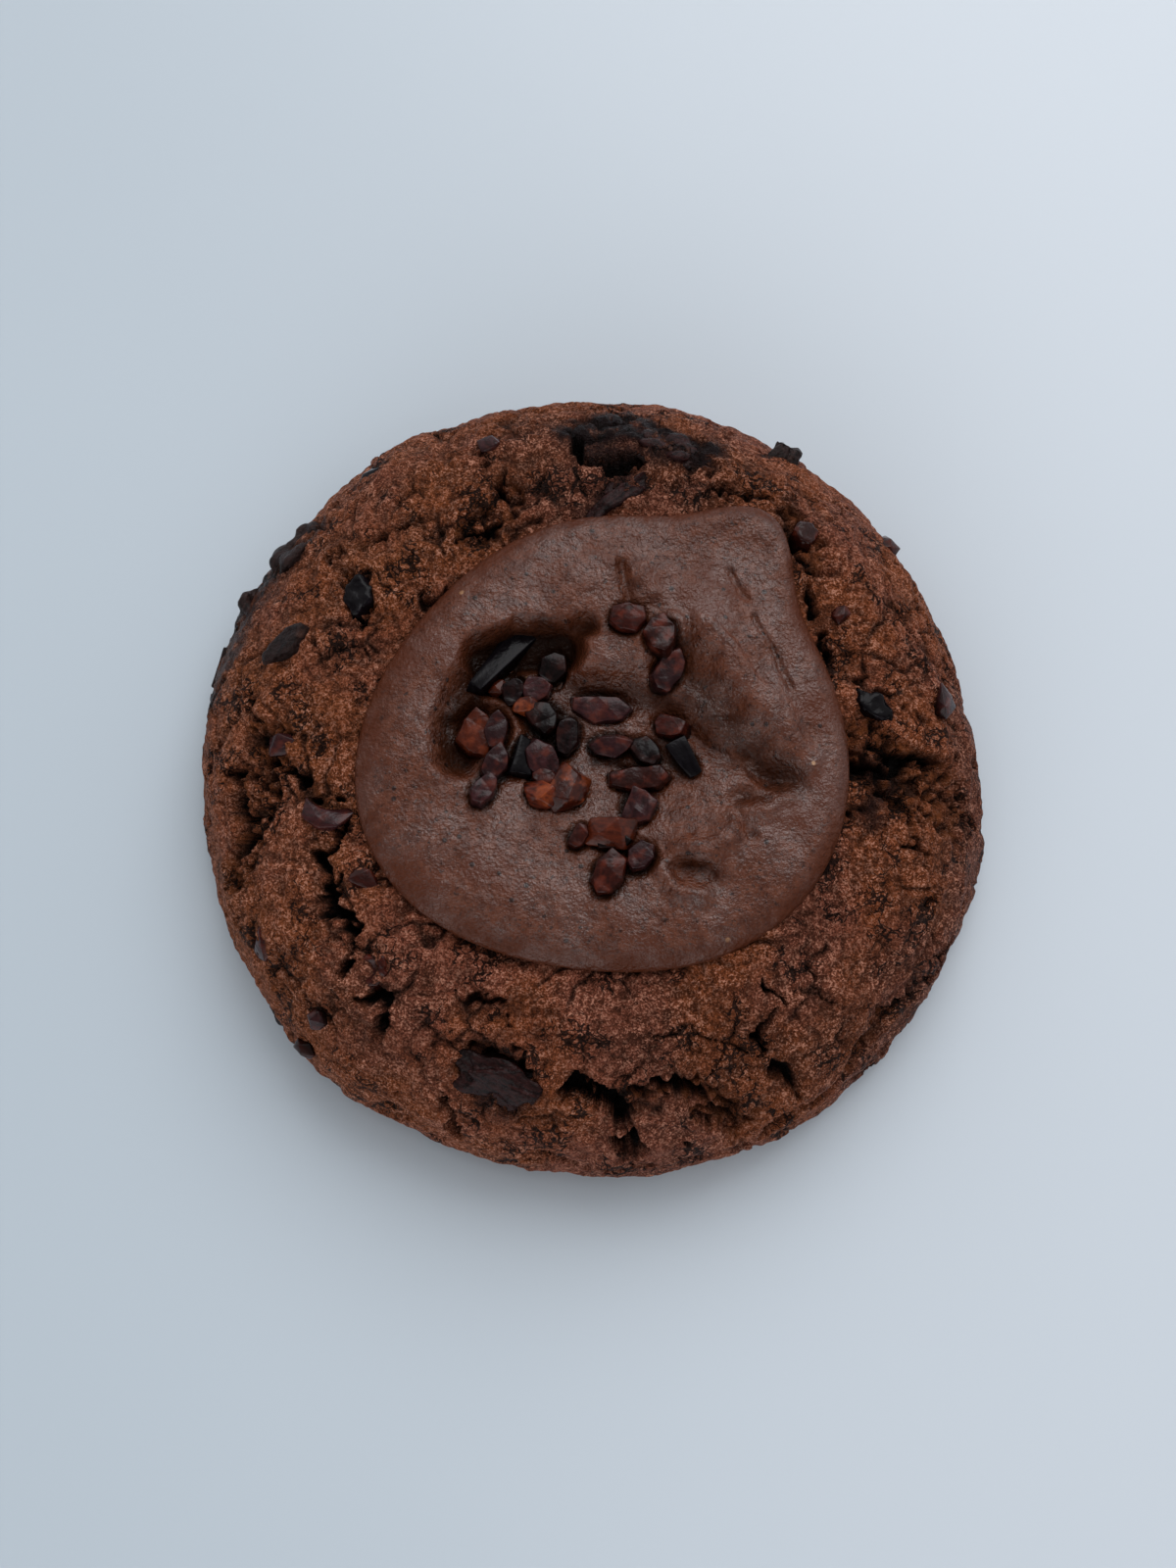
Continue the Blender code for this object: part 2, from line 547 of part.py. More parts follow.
def make_seat():
    """A cutter for the shallow seat in the dough that the spread lies in."""
    bm = bmesh.new()
    bmesh.ops.create_circle(bm, cap_ends=True, segments=96, radius=1.0)
    for vert in bm.verts:
        angle = np.array([math.atan2(vert.co.y, vert.co.x)])
        reach = float(spread_radius(angle)[0]) + SEAT_CLEARANCE
        vert.co = (reach * math.cos(angle[0]), reach * math.sin(angle[0]), SEAT_HEIGHT)
    lifted = bmesh.ops.extrude_face_region(bm, geom=bm.faces[:])
    verts = [item for item in lifted["geom"] if isinstance(item, bmesh.types.BMVert)]
    bmesh.ops.translate(bm, vec=(0.0, 0.0, 10.0), verts=verts)
    seat = object_from(bm, "seat_cutter")
    seat.display_type = "WIRE"
    seat.hide_render = True
    return seat


def angular_mesh(size, seed, corners=13):
    """A broken piece with flat faces and sharp edges inside a box of the given size."""
    bm = bmesh.new()
    shift = Vector((3.1 * seed, 7.7, -2.3 * seed))
    for index in range(corners):
        height = 1.0 - 2.0 * (index + 0.5) / corners
        angle = index * math.pi * (3.0 - math.sqrt(5.0))
        ring = math.sqrt(1.0 - height * height)
        way = Vector((ring * math.cos(angle), ring * math.sin(angle), height))
        reach = 0.5 * (1.0 + 0.3 * noise.noise(way * 1.7 + shift))
        boxy = max(abs(way.x), abs(way.y), abs(way.z)) ** 0.55
        bm.verts.new([way[axis] * size[axis] * reach / boxy for axis in range(3)])
    bmesh.ops.convex_hull(bm, input=bm.verts)
    loose = [vert for vert in bm.verts if not vert.link_faces]
    bmesh.ops.delete(bm, geom=loose, context="VERTS")
    return bm


def rounded_mesh(size, seed):
    """A melted lump: a ball pressed to the given size with soft dents."""
    bm = bmesh.new()
    bmesh.ops.create_icosphere(bm, subdivisions=2, radius=0.5)
    shift = Vector((5.3 * seed, 1.9, 4.1 * seed))
    for vert in bm.verts:
        swell = 1.0 + 0.28 * noise.noise(vert.co * 3.4 + shift)
        vert.co = [vert.co[axis] * size[axis] * swell for axis in range(3)]
    return bm


def surface_turn(at, turn):
    """Rotation that lays a piece on the dough's surface at a place, turned on that surface."""
    radius = math.hypot(at[0], at[1])
    lean = np.interp(radius, [row[0] for row in LEAN], [row[1] for row in LEAN])
    around = Matrix.Rotation(math.atan2(at[1], at[0]), 4, "Z")
    outwards = Matrix.Rotation(math.radians(float(lean)), 4, "Y")
    return around @ outwards @ Matrix.Rotation(math.radians(turn), 4, "Z")


def make_chunk(chunk, seed, clearance=0.0):
    """A baked-in piece, or with a clearance the cutter for its pocket."""
    shape = rounded_mesh if chunk.rounded else angular_mesh
    bm = shape(chunk.size, seed)
    grown = [(side + 2.0 * clearance) / side for side in chunk.size]
    bmesh.ops.scale(bm, vec=grown, verts=bm.verts)
    sink = Matrix.Translation((0.0, 0.0, -CHUNK_SINK * chunk.size[2]))
    place = Matrix.Translation(chunk.at) @ surface_turn(chunk.at, chunk.turn) @ sink
    bmesh.ops.transform(bm, matrix=place, verts=bm.verts)
    name = chunk.name if clearance == 0.0 else chunk.name + "_pocket"
    return object_from(bm, name)


def make_nib(topping, height, seed, rotation):
    """One cacao nib, sunk a little into what it lies on."""
    bm = angular_mesh((topping.length, topping.width, NIB_HEIGHT), seed, corners=12)
    place = Matrix.Translation((topping.x, topping.y, height)) @ rotation
    bmesh.ops.transform(bm, matrix=place, verts=bm.verts)
    return object_from(bm, f"nib_{seed}")


def nibs_on_spread():
    """The nibs and slivers scattered in the spread's hollow."""
    nibs = []
    for index, topping in enumerate(NIBS_ON_SPREAD):
        top = float(spread_top(np.array([(topping.x, topping.y)]))[0])
        lean = Matrix.Rotation(0.3 * math.sin(2.4 * index), 4, "X")
        turn = Matrix.Rotation(math.radians(topping.turn), 4, "Z") @ lean
        nibs.append(make_nib(topping, top + NIB_RISE, index, turn))
    return nibs


def nibs_on_dough():
    """The small nibs that stick out of the crust."""
    nibs = []
    for index, topping in enumerate(NIBS_ON_DOUGH):
        radius = math.hypot(topping.x, topping.y)
        upper = DOUGH_SECTION[:4:-1]
        height = np.interp(radius, [row[0] for row in upper], [row[1] for row in upper])
        place = (topping.x, topping.y, float(height))
        nibs.append(make_nib(topping, place[2], 60 + index, surface_turn(place, topping.turn)))
    return nibs


def dress(target, surface):
    """Give an object its one material and smooth shading with its edges kept."""
    target.data.materials.clear()
    target.data.materials.append(surface)
    target.data.shade_smooth()
    target.data.set_sharp_from_angle(angle=math.radians(40.0))


def build():
    """Make every piece of the cookie."""
    clear_scene()
    crust = material("baked_cocoa_crust", CRUST_COLOUR, 0.85)
    nut_spread = material("nut_spread", SPREAD_COLOUR, 0.45)
    chocolate = material("dark_chocolate", CHOCOLATE_COLOUR, 0.3)
    nib = material("cacao_nib", NIB_COLOUR, 0.5)

    dough = make_dough()
    combine(dough, [make_seat()], "DIFFERENCE")
    pockets = [make_chunk(chunk, seed, POCKET_CLEARANCE) for seed, chunk in enumerate(CHUNKS)]
    combine(dough, pockets, "DIFFERENCE")
    combine(dough, nibs_on_dough(), "UNION")
    dress(dough, crust)

    spread = make_spread()
    combine(spread, nibs_on_spread(), "UNION")
    dress(spread, nut_spread)

    for seed, chunk in enumerate(CHUNKS):
        dress(make_chunk(chunk, seed), nib if chunk.name.startswith("nib") else chocolate)


build()
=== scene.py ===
"""The looks of a thick cocoa cookie: crust, baked-in pieces, nut spread and cacao nibs.

Tables are in millimetres in the frame's own axes, and MM turns them into metres.
"""
import logging
import math
from dataclasses import dataclass, replace
from enum import Enum
from typing import Callable, NamedTuple

import bmesh
import bpy
import numpy as np
from mathutils import Matrix, Vector, noise


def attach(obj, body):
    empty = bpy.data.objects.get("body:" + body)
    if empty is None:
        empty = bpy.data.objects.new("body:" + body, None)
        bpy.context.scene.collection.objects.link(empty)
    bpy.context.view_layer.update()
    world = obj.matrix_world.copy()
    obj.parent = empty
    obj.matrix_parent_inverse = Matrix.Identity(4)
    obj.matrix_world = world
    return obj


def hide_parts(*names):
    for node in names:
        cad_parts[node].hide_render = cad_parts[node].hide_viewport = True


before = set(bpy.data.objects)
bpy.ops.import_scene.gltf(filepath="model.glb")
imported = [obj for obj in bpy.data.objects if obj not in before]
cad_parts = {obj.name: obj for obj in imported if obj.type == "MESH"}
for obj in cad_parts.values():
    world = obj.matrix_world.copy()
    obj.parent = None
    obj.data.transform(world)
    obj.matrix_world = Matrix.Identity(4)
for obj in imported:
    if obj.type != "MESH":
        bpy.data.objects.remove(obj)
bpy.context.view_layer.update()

LOG = logging.getLogger("cookie")
MM = 0.001
BODY = "root"
SWAY_WAVELENGTH = 4.5
SWAY = 1.1
THIN_SWAY = 0.0042
# Marks the corners of the spread's upper face until their real height is worked out.
UPPER_FACE = 100.0
GOLDEN_ANGLE = math.pi * (3.0 - math.sqrt(5.0))
# Fixed shifts, because noise.noise_vector has other ones in each session.
SLIVER_SHIFTS = ((0.3, 0.8, 0.1), (0.6, 0.2, 0.7), (0.9, 0.5, 0.4))
Colour = tuple[float, float, float, float]
Point = tuple[float, ...]
Size = tuple[float, float, float]
Shape = tuple[bmesh.types.BMesh, np.ndarray]


class Groove(NamedTuple):
    """A crack, torn patch or stain of the crust: its path, half width, and depth or strength."""

    path: tuple[Point, ...]
    half_width: float
    depth: float = 1.0


class Stroke(NamedTuple):
    """A hollow, ridge or trace on the spread: its path in plan, half width, softness, rise."""

    path: tuple[Point, ...]
    half_width: float
    softness: float
    rise: float


class Mottle(NamedTuple):
    """Noise over a surface, and the two values between which it comes to show."""

    scale: float
    detail: float
    roughness: float
    low: float
    high: float


class Kind(Enum):
    """The sorts of loose or baked-in piece, which differ in colour and gloss."""

    MAUVE = "mauve"
    RED = "red"
    EMBER = "ember"
    RUST = "rust"
    DARK = "dark"
    CHOCOLATE = "chocolate"
    MELT = "melted"
    CRUSTED = "crusted"


class Form(Enum):
    """The shapes that a small piece can have."""

    BROKEN = "broken"
    SLIVER = "sliver"
    MELTED = "melted"
    PRESSED = "pressed"
    CHIP = "chip"


def srgb(red: int, green: int, blue: int) -> Colour:
    """A colour given as it shows on a screen, made linear for a shader.

    Args:
        red: Red from 0 to 255.
        green: Green from 0 to 255.
        blue: Blue from 0 to 255.

    Returns:
        The linear colour with full alpha.
    """
    linear = []
    for value in (red, green, blue):
        share = value / 255.0
        linear.append(share / 12.92 if share <= 0.04045 else ((share + 0.055) / 1.055) ** 2.4)
    return (linear[0], linear[1], linear[2], 1.0)


def path_distance(points: np.ndarray, path: tuple[Point, ...]) -> np.ndarray:
    """Distance from each point to the nearest place on a path of straight runs.

    Args:
        points: One row for each point.
        path: Corners of the path, with as many coordinates as the points.

    Returns:
        One distance for each point.
    """
    nearest = np.full(len(points), np.inf)
    for start, end in zip(np.array(path[:-1]), np.array(path[1:])):
        along = end - start
        share = np.clip((points - start) @ along / (along @ along), 0.0, 1.0)
        gap = np.linalg.norm(points - start - share[:, None] * along, axis=1)
        nearest = np.minimum(nearest, gap)
    return nearest


def falloff(distance: np.ndarray, half_width: float, softness: float) -> np.ndarray:
    """A soft step: 1 inside the half width, down to 0 outside it.

    Args:
        distance: Distances from the middle of the stroke.
        half_width: Where the value is one half.
        softness: Half of the width that the step takes.

    Returns:
        Values from 0 to 1.
    """
    share = np.clip((half_width + softness - distance) / (2.0 * softness), 0.0, 1.0)
    return share * share * (3.0 - 2.0 * share)


def noise_at(points: np.ndarray, wavelength: float, seed: float) -> np.ndarray:
    """Smooth noise between about -1 and 1 at every point.

    Args:
        points: One row of three coordinates for each point.
        wavelength: Size of the swells.
        seed: Moves the noise, so that two layers differ.

    Returns:
        One value for each point.
    """
    shift = Vector((17.3 * seed, -9.1 * seed, 5.7 * seed))
    return np.array([noise.noise(Vector(point) / wavelength + shift) for point in points])


def drawn(cells: np.ndarray, seed: float) -> np.ndarray:
    """A number from 0 to 1 for each cell of a grid, always the same for the same cell.

    Args:
        cells: Whole-number places of the cells, one row each.
        seed: Picks another set of numbers.

    Returns:
        One number for each cell.
    """
    code = cells.astype(np.int64) @ np.array((73856093, 19349663, 83492791)) + int(seed) * 40503
    code = ((code ^ (code >> 13)) * 1274126177) & 0xFFFFFFFF
    code = ((code ^ (code >> 15)) * 2246822519) & 0xFFFFFFFF
    return ((code ^ (code >> 13)) & 0xFFFF) / 65535.0


def fine_noise(points: np.ndarray, wavelength: float, seed: float) -> np.ndarray:
    """Quick smooth noise between -1 and 1, for detail that the solids don't have.

    Args:
        points: One row of three coordinates for each point.
        wavelength: Size of the lumps.
        seed: Picks another pattern.

    Returns:
        One value for each point.
    """
    place = points / wavelength + 0.37 * seed
    corner = np.floor(place)
    share = place - corner
    share = share * share * (3.0 - 2.0 * share)
    total = np.zeros(len(points))
    for step in np.ndindex(2, 2, 2):
        weight = np.prod(np.where(step, share, 1.0 - share), axis=1)
        total += weight * drawn(corner + step, seed)
    return 2.0 * total - 1.0


def cells_at(points: np.ndarray, size: float, seed: float) -> tuple[np.ndarray, np.ndarray]:
    """Distances to the two nearest cell middles, as grains and scales need.

    Args:
        points: One row of three coordinates for each point.
        size: Typical distance between the middles.
        seed: Picks another pattern.

    Returns:
        The nearest and the second nearest distance for each point, in cell sizes.
    """
    place = points / size
    corner = np.floor(place)
    near = np.full(len(points), 9.0)
    next_near = near.copy()
    for step in np.ndindex(3, 3, 3):
        cell = corner + step - 1
        middle = cell + np.stack([drawn(cell, seed + 50 * axis) for axis in range(3)], axis=1)
        gap = np.linalg.norm(middle - place, axis=1)
        next_near = np.minimum(next_near, np.maximum(near, gap))
        near = np.minimum(near, gap)
    return near, next_near


def wobbled(points: np.ndarray, wavelength: float, reach: float, seed: float) -> np.ndarray:
    """Points moved by noise, so that what is measured from them has ragged sides.

    Args:
        points: One row of three coordinates for each point.
        wavelength: Size of the wobbles.
        reach: How far a point may move.
        seed: Moves the noise.

    Returns:
        The moved points.
    """
    moves = [fine_noise(points, wavelength, seed + axis) for axis in range(points.shape[1])]
    return points + reach * np.stack(moves, axis=1)


def swayed(points: np.ndarray) -> np.ndarray:
    """Points moved in wide swings, alike for every crack and patch of the crust."""
    moves = [noise_at(points, SWAY_WAVELENGTH, 11 + axis) for axis in range(3)]
    return points + SWAY * np.stack(moves, axis=1)


def mesh_object(bm: bmesh.types.BMesh, name: str) -> bpy.types.Object:
    """Turn a bmesh that was worked out in millimetres into an object in metres.

    Args:
        bm: The shape, which is freed.
        name: Name of the object and its mesh.

    Returns:
        The new object, shaded smooth.
    """
    bmesh.ops.scale(bm, vec=(MM, MM, MM), verts=bm.verts)
    mesh = bpy.data.meshes.new(name)
    bm.to_mesh(mesh)
    bm.free()
    mesh.shade_smooth()
    made = bpy.data.objects.new(name, mesh)
    bpy.context.scene.collection.objects.link(made)
    return made


def store(target: bpy.types.Object, name: str, values: np.ndarray) -> None:
    """Keep one number for each vertex on a mesh, for its material to read.

    Args:
        target: The object.
        name: Name of the attribute.
        values: One value for each vertex.
    """
    attribute = target.data.attributes.new(name, "FLOAT", "POINT")
    attribute.data.foreach_set("value", np.asarray(values, dtype=np.float32))


def turned_solid(section: list[tuple[float, float]], steps: int) -> bmesh.types.BMesh:
    """Bend a grid round the axis into a closed solid with a given half section.

    Args:
        section: Radius and height of each corner, from axis to axis.
        steps: How many steps the turn takes.

    Returns:
        The turned shape with its poles closed and its faces pointing out.
    """
    bm = bmesh.new()
    last = len(section) - 1
    bmesh.ops.create_grid(bm, x_segments=steps, y_segments=last, size=0.5)
    for vert in bm.verts:
        angle = 2.0 * math.pi * (vert.co.x + 0.5)
        radius, height = section[round((vert.co.y + 0.5) * last)]
        vert.co = (radius * math.cos(angle), radius * math.sin(angle), height)
    bmesh.ops.remove_doubles(bm, verts=bm.verts, dist=1e-4)
    bmesh.ops.recalc_face_normals(bm, faces=bm.faces)
    bm.normal_update()
    return bm


def arrays_of(bm: bmesh.types.BMesh) -> tuple[np.ndarray, np.ndarray]:
    """The places and the normals of a bmesh's vertices as two arrays."""
    points = np.array([vert.co for vert in bm.verts])
    normals = np.array([vert.normal for vert in bm.verts])
    return points, normals


def place_all(bm: bmesh.types.BMesh, points: np.ndarray) -> None:
    """Put every vertex of a bmesh at its row of an array."""
    for vert, place in zip(bm.verts, points):
        vert.co = place


@dataclass(frozen=True)
class Graph:
    """A node tree with short calls for adding and joining its nodes."""

    tree: bpy.types.NodeTree

    def add(self, kind: str, **inputs: object) -> bpy.types.Node:
        """Add a node and fill or join its inputs.

        Args:
            kind: Blender's name for the node type.
            inputs: Values or output sockets by input name, with _ for a space. A name that
                starts with set_ is a property of the node, and one with in_ an input's number.

        Returns:
            The node.
        """
        node = self.tree.nodes.new(kind)
        for name, value in inputs.items():
            if name.startswith("set_"):
                setattr(node, name[4:], value)
        for name, value in inputs.items():
            if name.startswith("set_"):
                continue
            key = int(name[3:]) if name.startswith("in_") else name.replace("_", " ")
            if isinstance(value, bpy.types.NodeSocket):
                self.tree.links.new(value, node.inputs[key])
            else:
                node.inputs[key].default_value = value
        return node

    def place(self) -> bpy.types.NodeSocket:
        """The object's own coordinates."""
        return self.add("ShaderNodeTexCoord").outputs["Object"]

    def stored(self, name: str) -> bpy.types.NodeSocket:
        """A number that the mesh keeps for each vertex."""
        return self.add("ShaderNodeAttribute", set_attribute_name=name).outputs["Fac"]

    def noise(self, scale: float, detail: float, roughness: float = 0.5) -> bpy.types.NodeSocket:
        """Noise over the surface, from 0 to 1.

        Args:
            scale: Swells in each metre.
            detail: How many finer layers it has.
            roughness: How strong the finer layers are.

        Returns:
            The noise's value socket.
        """
        made = self.add(
            "ShaderNodeTexNoise", Vector=self.place(), Scale=scale, Detail=detail, Roughness=roughness
        )
        return made.outputs["Fac"]

    def ramp(self, value: bpy.types.NodeSocket, low: object, high: object) -> bpy.types.NodeSocket:
        """Stretch a value so that low becomes 0 and high becomes 1.

        Args:
            value: What is stretched.
            low: The value that becomes 0.
            high: The value that becomes 1.

        Returns:
            The stretched value, which stays between 0 and 1.
        """
        made = self.add("ShaderNodeMapRange", Value=value, From_Min=low, From_Max=high)
        made.interpolation_type = "SMOOTHSTEP"
        return made.outputs["Result"]

    def mottle(self, kind: Mottle) -> bpy.types.NodeSocket:
        """Noise that comes and goes over the surface, from 0 to 1."""
        return self.ramp(self.noise(kind.scale, kind.detail, kind.roughness), kind.low, kind.high)

    def sum(self, first: object, second: object, kind: str = "ADD") -> bpy.types.NodeSocket:
        """Add, or otherwise combine, two values.

        Args:
            first: A value or socket.
            second: A value or socket.
            kind: Blender's name for the operation.

        Returns:
            The result's socket.
        """
        return self.add("ShaderNodeMath", set_operation=kind, in_0=first, in_1=second).outputs[0]

    def times(self, first: object, second: object) -> bpy.types.NodeSocket:
        """Multiply two values."""
        return self.sum(first, second, "MULTIPLY")

    def blend(self, share: object, first: object, second: object) -> bpy.types.NodeSocket:
        """Mix two colours.

        Args:
            share: How much of the second colour shows.
            first: A colour or socket.
            second: A colour or socket.

        Returns:
            The mixed colour's socket.
        """
        made = self.add("ShaderNodeMix", set_data_type="RGBA", in_0=share, in_6=first, in_7=second)
        return made.outputs[2]


@dataclass(frozen=True)
class SharedGroup:
    """A shader effect that several finishes use: its inputs, its output and what fills it."""

    name: str
    inputs: tuple[str, ...]
    output: str
    fill: Callable[[Graph, bpy.types.NodeOutputs], bpy.types.NodeSocket]

    def tree(self) -> bpy.types.NodeTree:
        """The node group, made the first time that it is asked for."""
        if self.name in bpy.data.node_groups:
            return bpy.data.node_groups[self.name]
        group = bpy.data.node_groups.new(self.name, "ShaderNodeTree")
        group.interface.new_socket("Vector", in_out="INPUT", socket_type="NodeSocketVector")
        for label in self.inputs:
            group.interface.new_socket(label, in_out="INPUT", socket_type="NodeSocketFloat")
        group.interface.new_socket(self.output, in_out="OUTPUT", socket_type="NodeSocketFloat")
        graph = Graph(group)
        result = self.fill(graph, graph.add("NodeGroupInput").outputs)
        graph.add("NodeGroupOutput", in_0=result)
        return group

    def over(self, graph: Graph, *values: float) -> bpy.types.NodeSocket:
        """The effect over a material's surface.

        Args:
            graph: The material's graph.
            values: One value for each input.

        Returns:
            The effect's socket.
        """
        settings = dict(zip(self.inputs, values))
        made = graph.add("ShaderNodeGroup", set_node_tree=self.tree(), Vector=graph.place(), **settings)
        return made.outputs[0]


def speck_nodes(graph: Graph, given: bpy.types.NodeOutputs) -> bpy.types.NodeSocket:
    """Small spots in a share of a surface's cells."""
    cells = graph.add("ShaderNodeTexVoronoi", Vector=given["Vector"], Scale=given["Scale"])
    chosen = graph.add("ShaderNodeSeparateColor", Color=cells.outputs["Color"]).outputs[0]
    picked = graph.sum(chosen, given["Share"], "LESS_THAN")
    near = graph.ramp(cells.outputs["Distance"], given["Size"], graph.times(given["Size"], 0.5))
    return graph.times(picked, near)


def grain_nodes(graph: Graph, given: bpy.types.NodeOutputs) -> bpy.types.NodeSocket:
    """A grainy height made of clumps, rounded grains and finer sand."""
    place = given["Vector"]
    clumps = graph.add("ShaderNodeTexNoise", Vector=place, Scale=given["Grain"], Detail=5.0, Roughness=0.72)
    sand = graph.add("ShaderNodeTexNoise", Vector=place, Scale=given["Fine"], Detail=2.0)
    cells = graph.add("ShaderNodeTexVoronoi", Vector=place, Scale=given["Fine"])
    coarse = graph.times(clumps.outputs["Fac"], 0.62)
    fine = graph.times(sand.outputs["Fac"], 0.5)
    grains = graph.times(cells.outputs["Distance"], -0.16)
    return graph.sum(graph.sum(coarse, fine), grains)


def crack_nodes(graph: Graph, given: bpy.types.NodeOutputs) -> bpy.types.NodeSocket:
    """Thin jagged cracks that come and go over a surface."""
    place = given["Vector"]
    swings = graph.add("ShaderNodeTexNoise", Vector=place, Scale=560.0, Detail=2.0, Roughness=0.5)
    sway = swings.outputs["Color"]
    centred = graph.add("ShaderNodeVectorMath", set_operation="SUBTRACT", in_0=sway, in_1=(0.5, 0.5, 0.5))
    moved = graph.add(
        "ShaderNodeVectorMath",
        set_operation="MULTIPLY_ADD",
        in_0=centred.outputs[0],
        in_1=(THIN_SWAY, THIN_SWAY, THIN_SWAY),
        in_2=place,
    ).outputs[0]
    seams = graph.add(
        "ShaderNodeTexVoronoi", Vector=moved, Scale=given["Scale"], set_feature="DISTANCE_TO_EDGE"
    ).outputs["Distance"]
    patchy = graph.add("ShaderNodeTexNoise", Vector=place, Scale=210.0, Detail=3.0).outputs["Fac"]
    width = graph.times(graph.ramp(patchy, 0.46, 0.66), given["Width"])
    return graph.ramp(graph.sum(seams, width, "SUBTRACT"), 0.0, -0.03)


SPECKS = SharedGroup("strewn specks", ("Scale", "Size", "Share"), "Mask", speck_nodes)
GRAIN = SharedGroup("baked grain", ("Grain", "Fine"), "Height", grain_nodes)
THIN_CRACKS = SharedGroup("thin cracks", ("Scale", "Width"), "Mask", crack_nodes)


@dataclass(frozen=True)
class Finish:
    """What every finish has: a name, a base material and how rough and bumpy it is."""

    name: str

    def start(self, roughness: float, specular: float) -> tuple[Graph, bpy.types.Node]:
        """Begin the material.

        Args:
            roughness: The roughness until something else is joined to it.
            specular: The specular level.

        Returns:
            The graph to add nodes to, and its Principled BSDF.
        """
        made = bpy.data.materials.new(self.name)
        made.use_nodes = True
        graph = Graph(made.node_tree)
        shader = made.node_tree.nodes["Principled BSDF"]
        shader.inputs["Roughness"].default_value = roughness
        shader.inputs["Specular IOR Level"].default_value = specular
        return graph, shader

    def coloured(self, graph: Graph, shader: bpy.types.Node, tone: object) -> bpy.types.Material:
        """Join a colour to the shader, and return the material."""
        graph.tree.links.new(tone, shader.inputs["Base Color"])
        return bpy.data.materials[self.name]

    def bump(self, graph: Graph, shader: bpy.types.Node, height: object, depth: float) -> None:
        """Let a height tilt the shader's normals.

        Args:
            graph: The material's graph.
            shader: The Principled BSDF.
            height: The height socket.
            depth: How deep the bumps are, in metres.
        """
        made = graph.add("ShaderNodeBump", Height=height, Distance=depth, Strength=1.0)
        graph.tree.links.new(made.outputs["Normal"], shader.inputs["Normal"])


@dataclass(frozen=True)
class CrustFinish(Finish):
    """Baked cocoa crust: grainy, dull, warmer to one side, painted near-black shade down in its cracks."""

    brown: Colour = srgb(124, 65, 35)
    warm: Colour = srgb(122, 67, 34)
    mauve: Colour = srgb(126, 70, 52)
    # Pale tone: the crust's own paler specks and plates, and painted highlight on the grains' tops.
    pale: Colour = srgb(196, 138, 114)
    # Painted shade: the colour that the grain's low parts take.
    fissure_shade: Colour = srgb(50, 23, 10)
    shade: Colour = srgb(36, 17, 9)
    # Dark tone: used for random cloudy patches, and for painted shade in the creases between the clumps.
    crumb: Colour = srgb(96, 50, 22)
    # Painted shade: near black for the cracks, the gaps of the torn crumb and the hairline seams.
    depth: Colour = srgb(9, 5, 4)
    stain: Colour = srgb(22, 11, 11)
    mauve_patches: Mottle = Mottle(75.0, 5.0, 0.5, 0.4, 0.6)
    clouds: Mottle = Mottle(38.0, 4.0, 0.5, 0.5, 0.66)
    plates: Mottle = Mottle(240.0, 5.0, 0.6, 0.4, 0.62)
    crumbling: Mottle = Mottle(520.0, 4.0, 0.6, 0.36, 0.6)
    soaking: Mottle = Mottle(420.0, 5.0, 0.65, 0.24, 0.5)
    roughness: float = 0.58
    specular: float = 0.08
    bumps: float = 0.0009

    def make(self) -> bpy.types.Material:
        """Build the material and return it."""
        graph, shader = self.start(self.roughness, self.specular)
        tone = graph.blend(graph.mottle(self.mauve_patches), self.brown, self.mauve)
        warmth = graph.times(graph.stored("warm"), graph.noise(160.0, 4.0))
        tone = graph.blend(graph.ramp(warmth, 0.15, 0.6), tone, self.warm)
        tone = graph.blend(graph.times(graph.mottle(self.clouds), 0.4), tone, self.shade)
        height = GRAIN.over(graph, 1500.0, 4200.0)
        # Painted shade: the low parts of the grain height are darkened.
        tone = graph.blend(graph.times(graph.ramp(height, 0.49, 0.37), 0.72), tone, self.fissure_shade)
        showing = graph.sum(graph.times(graph.mottle(self.plates), 0.5), 0.4)
        # Partly painted highlight: the grain's high parts are paled, most where the paler plates show.
        tone = graph.blend(graph.times(graph.ramp(height, 0.48, 0.6), showing), tone, self.pale)
        tone = graph.blend(graph.times(SPECKS.over(graph, 1500.0, 0.34, 0.2), 0.4), tone, self.pale)
        # Painted shade: the creases between the crust's clumps, kept as the grain attribute, are darkened.
        tone = graph.blend(graph.times(graph.stored("grain"), 0.6), tone, self.shade)
        gold = graph.times(graph.stored("crumb"), graph.mottle(self.crumbling))
        tone = graph.blend(graph.times(gold, 0.7), tone, self.crumb)
        soaked = graph.times(graph.stored("stain"), graph.mottle(self.soaking))
        tone = graph.blend(soaked, tone, self.stain)
        rough = graph.sum(graph.times(soaked, -0.3), self.roughness)
        graph.tree.links.new(rough, shader.inputs["Roughness"])
        # Painted shade: thin cracks drawn only in the shader are darkened almost to black.
        wide, fine = THIN_CRACKS.over(graph, 260.0, 0.06), THIN_CRACKS.over(graph, 520.0, 0.065)
        cracks = graph.sum(wide, fine, "MAXIMUM")
        tone = graph.blend(graph.times(cracks, 0.9), tone, self.depth)
        # Painted shade: the deep attribute darkens the mesh's cracks, crumb gaps and seams.
        tone = graph.blend(graph.stored("deep"), tone, self.depth)
        self.bump(graph, shader, graph.sum(height, graph.times(cracks, -0.8)), self.bumps)
        return self.coloured(graph, shader, tone)


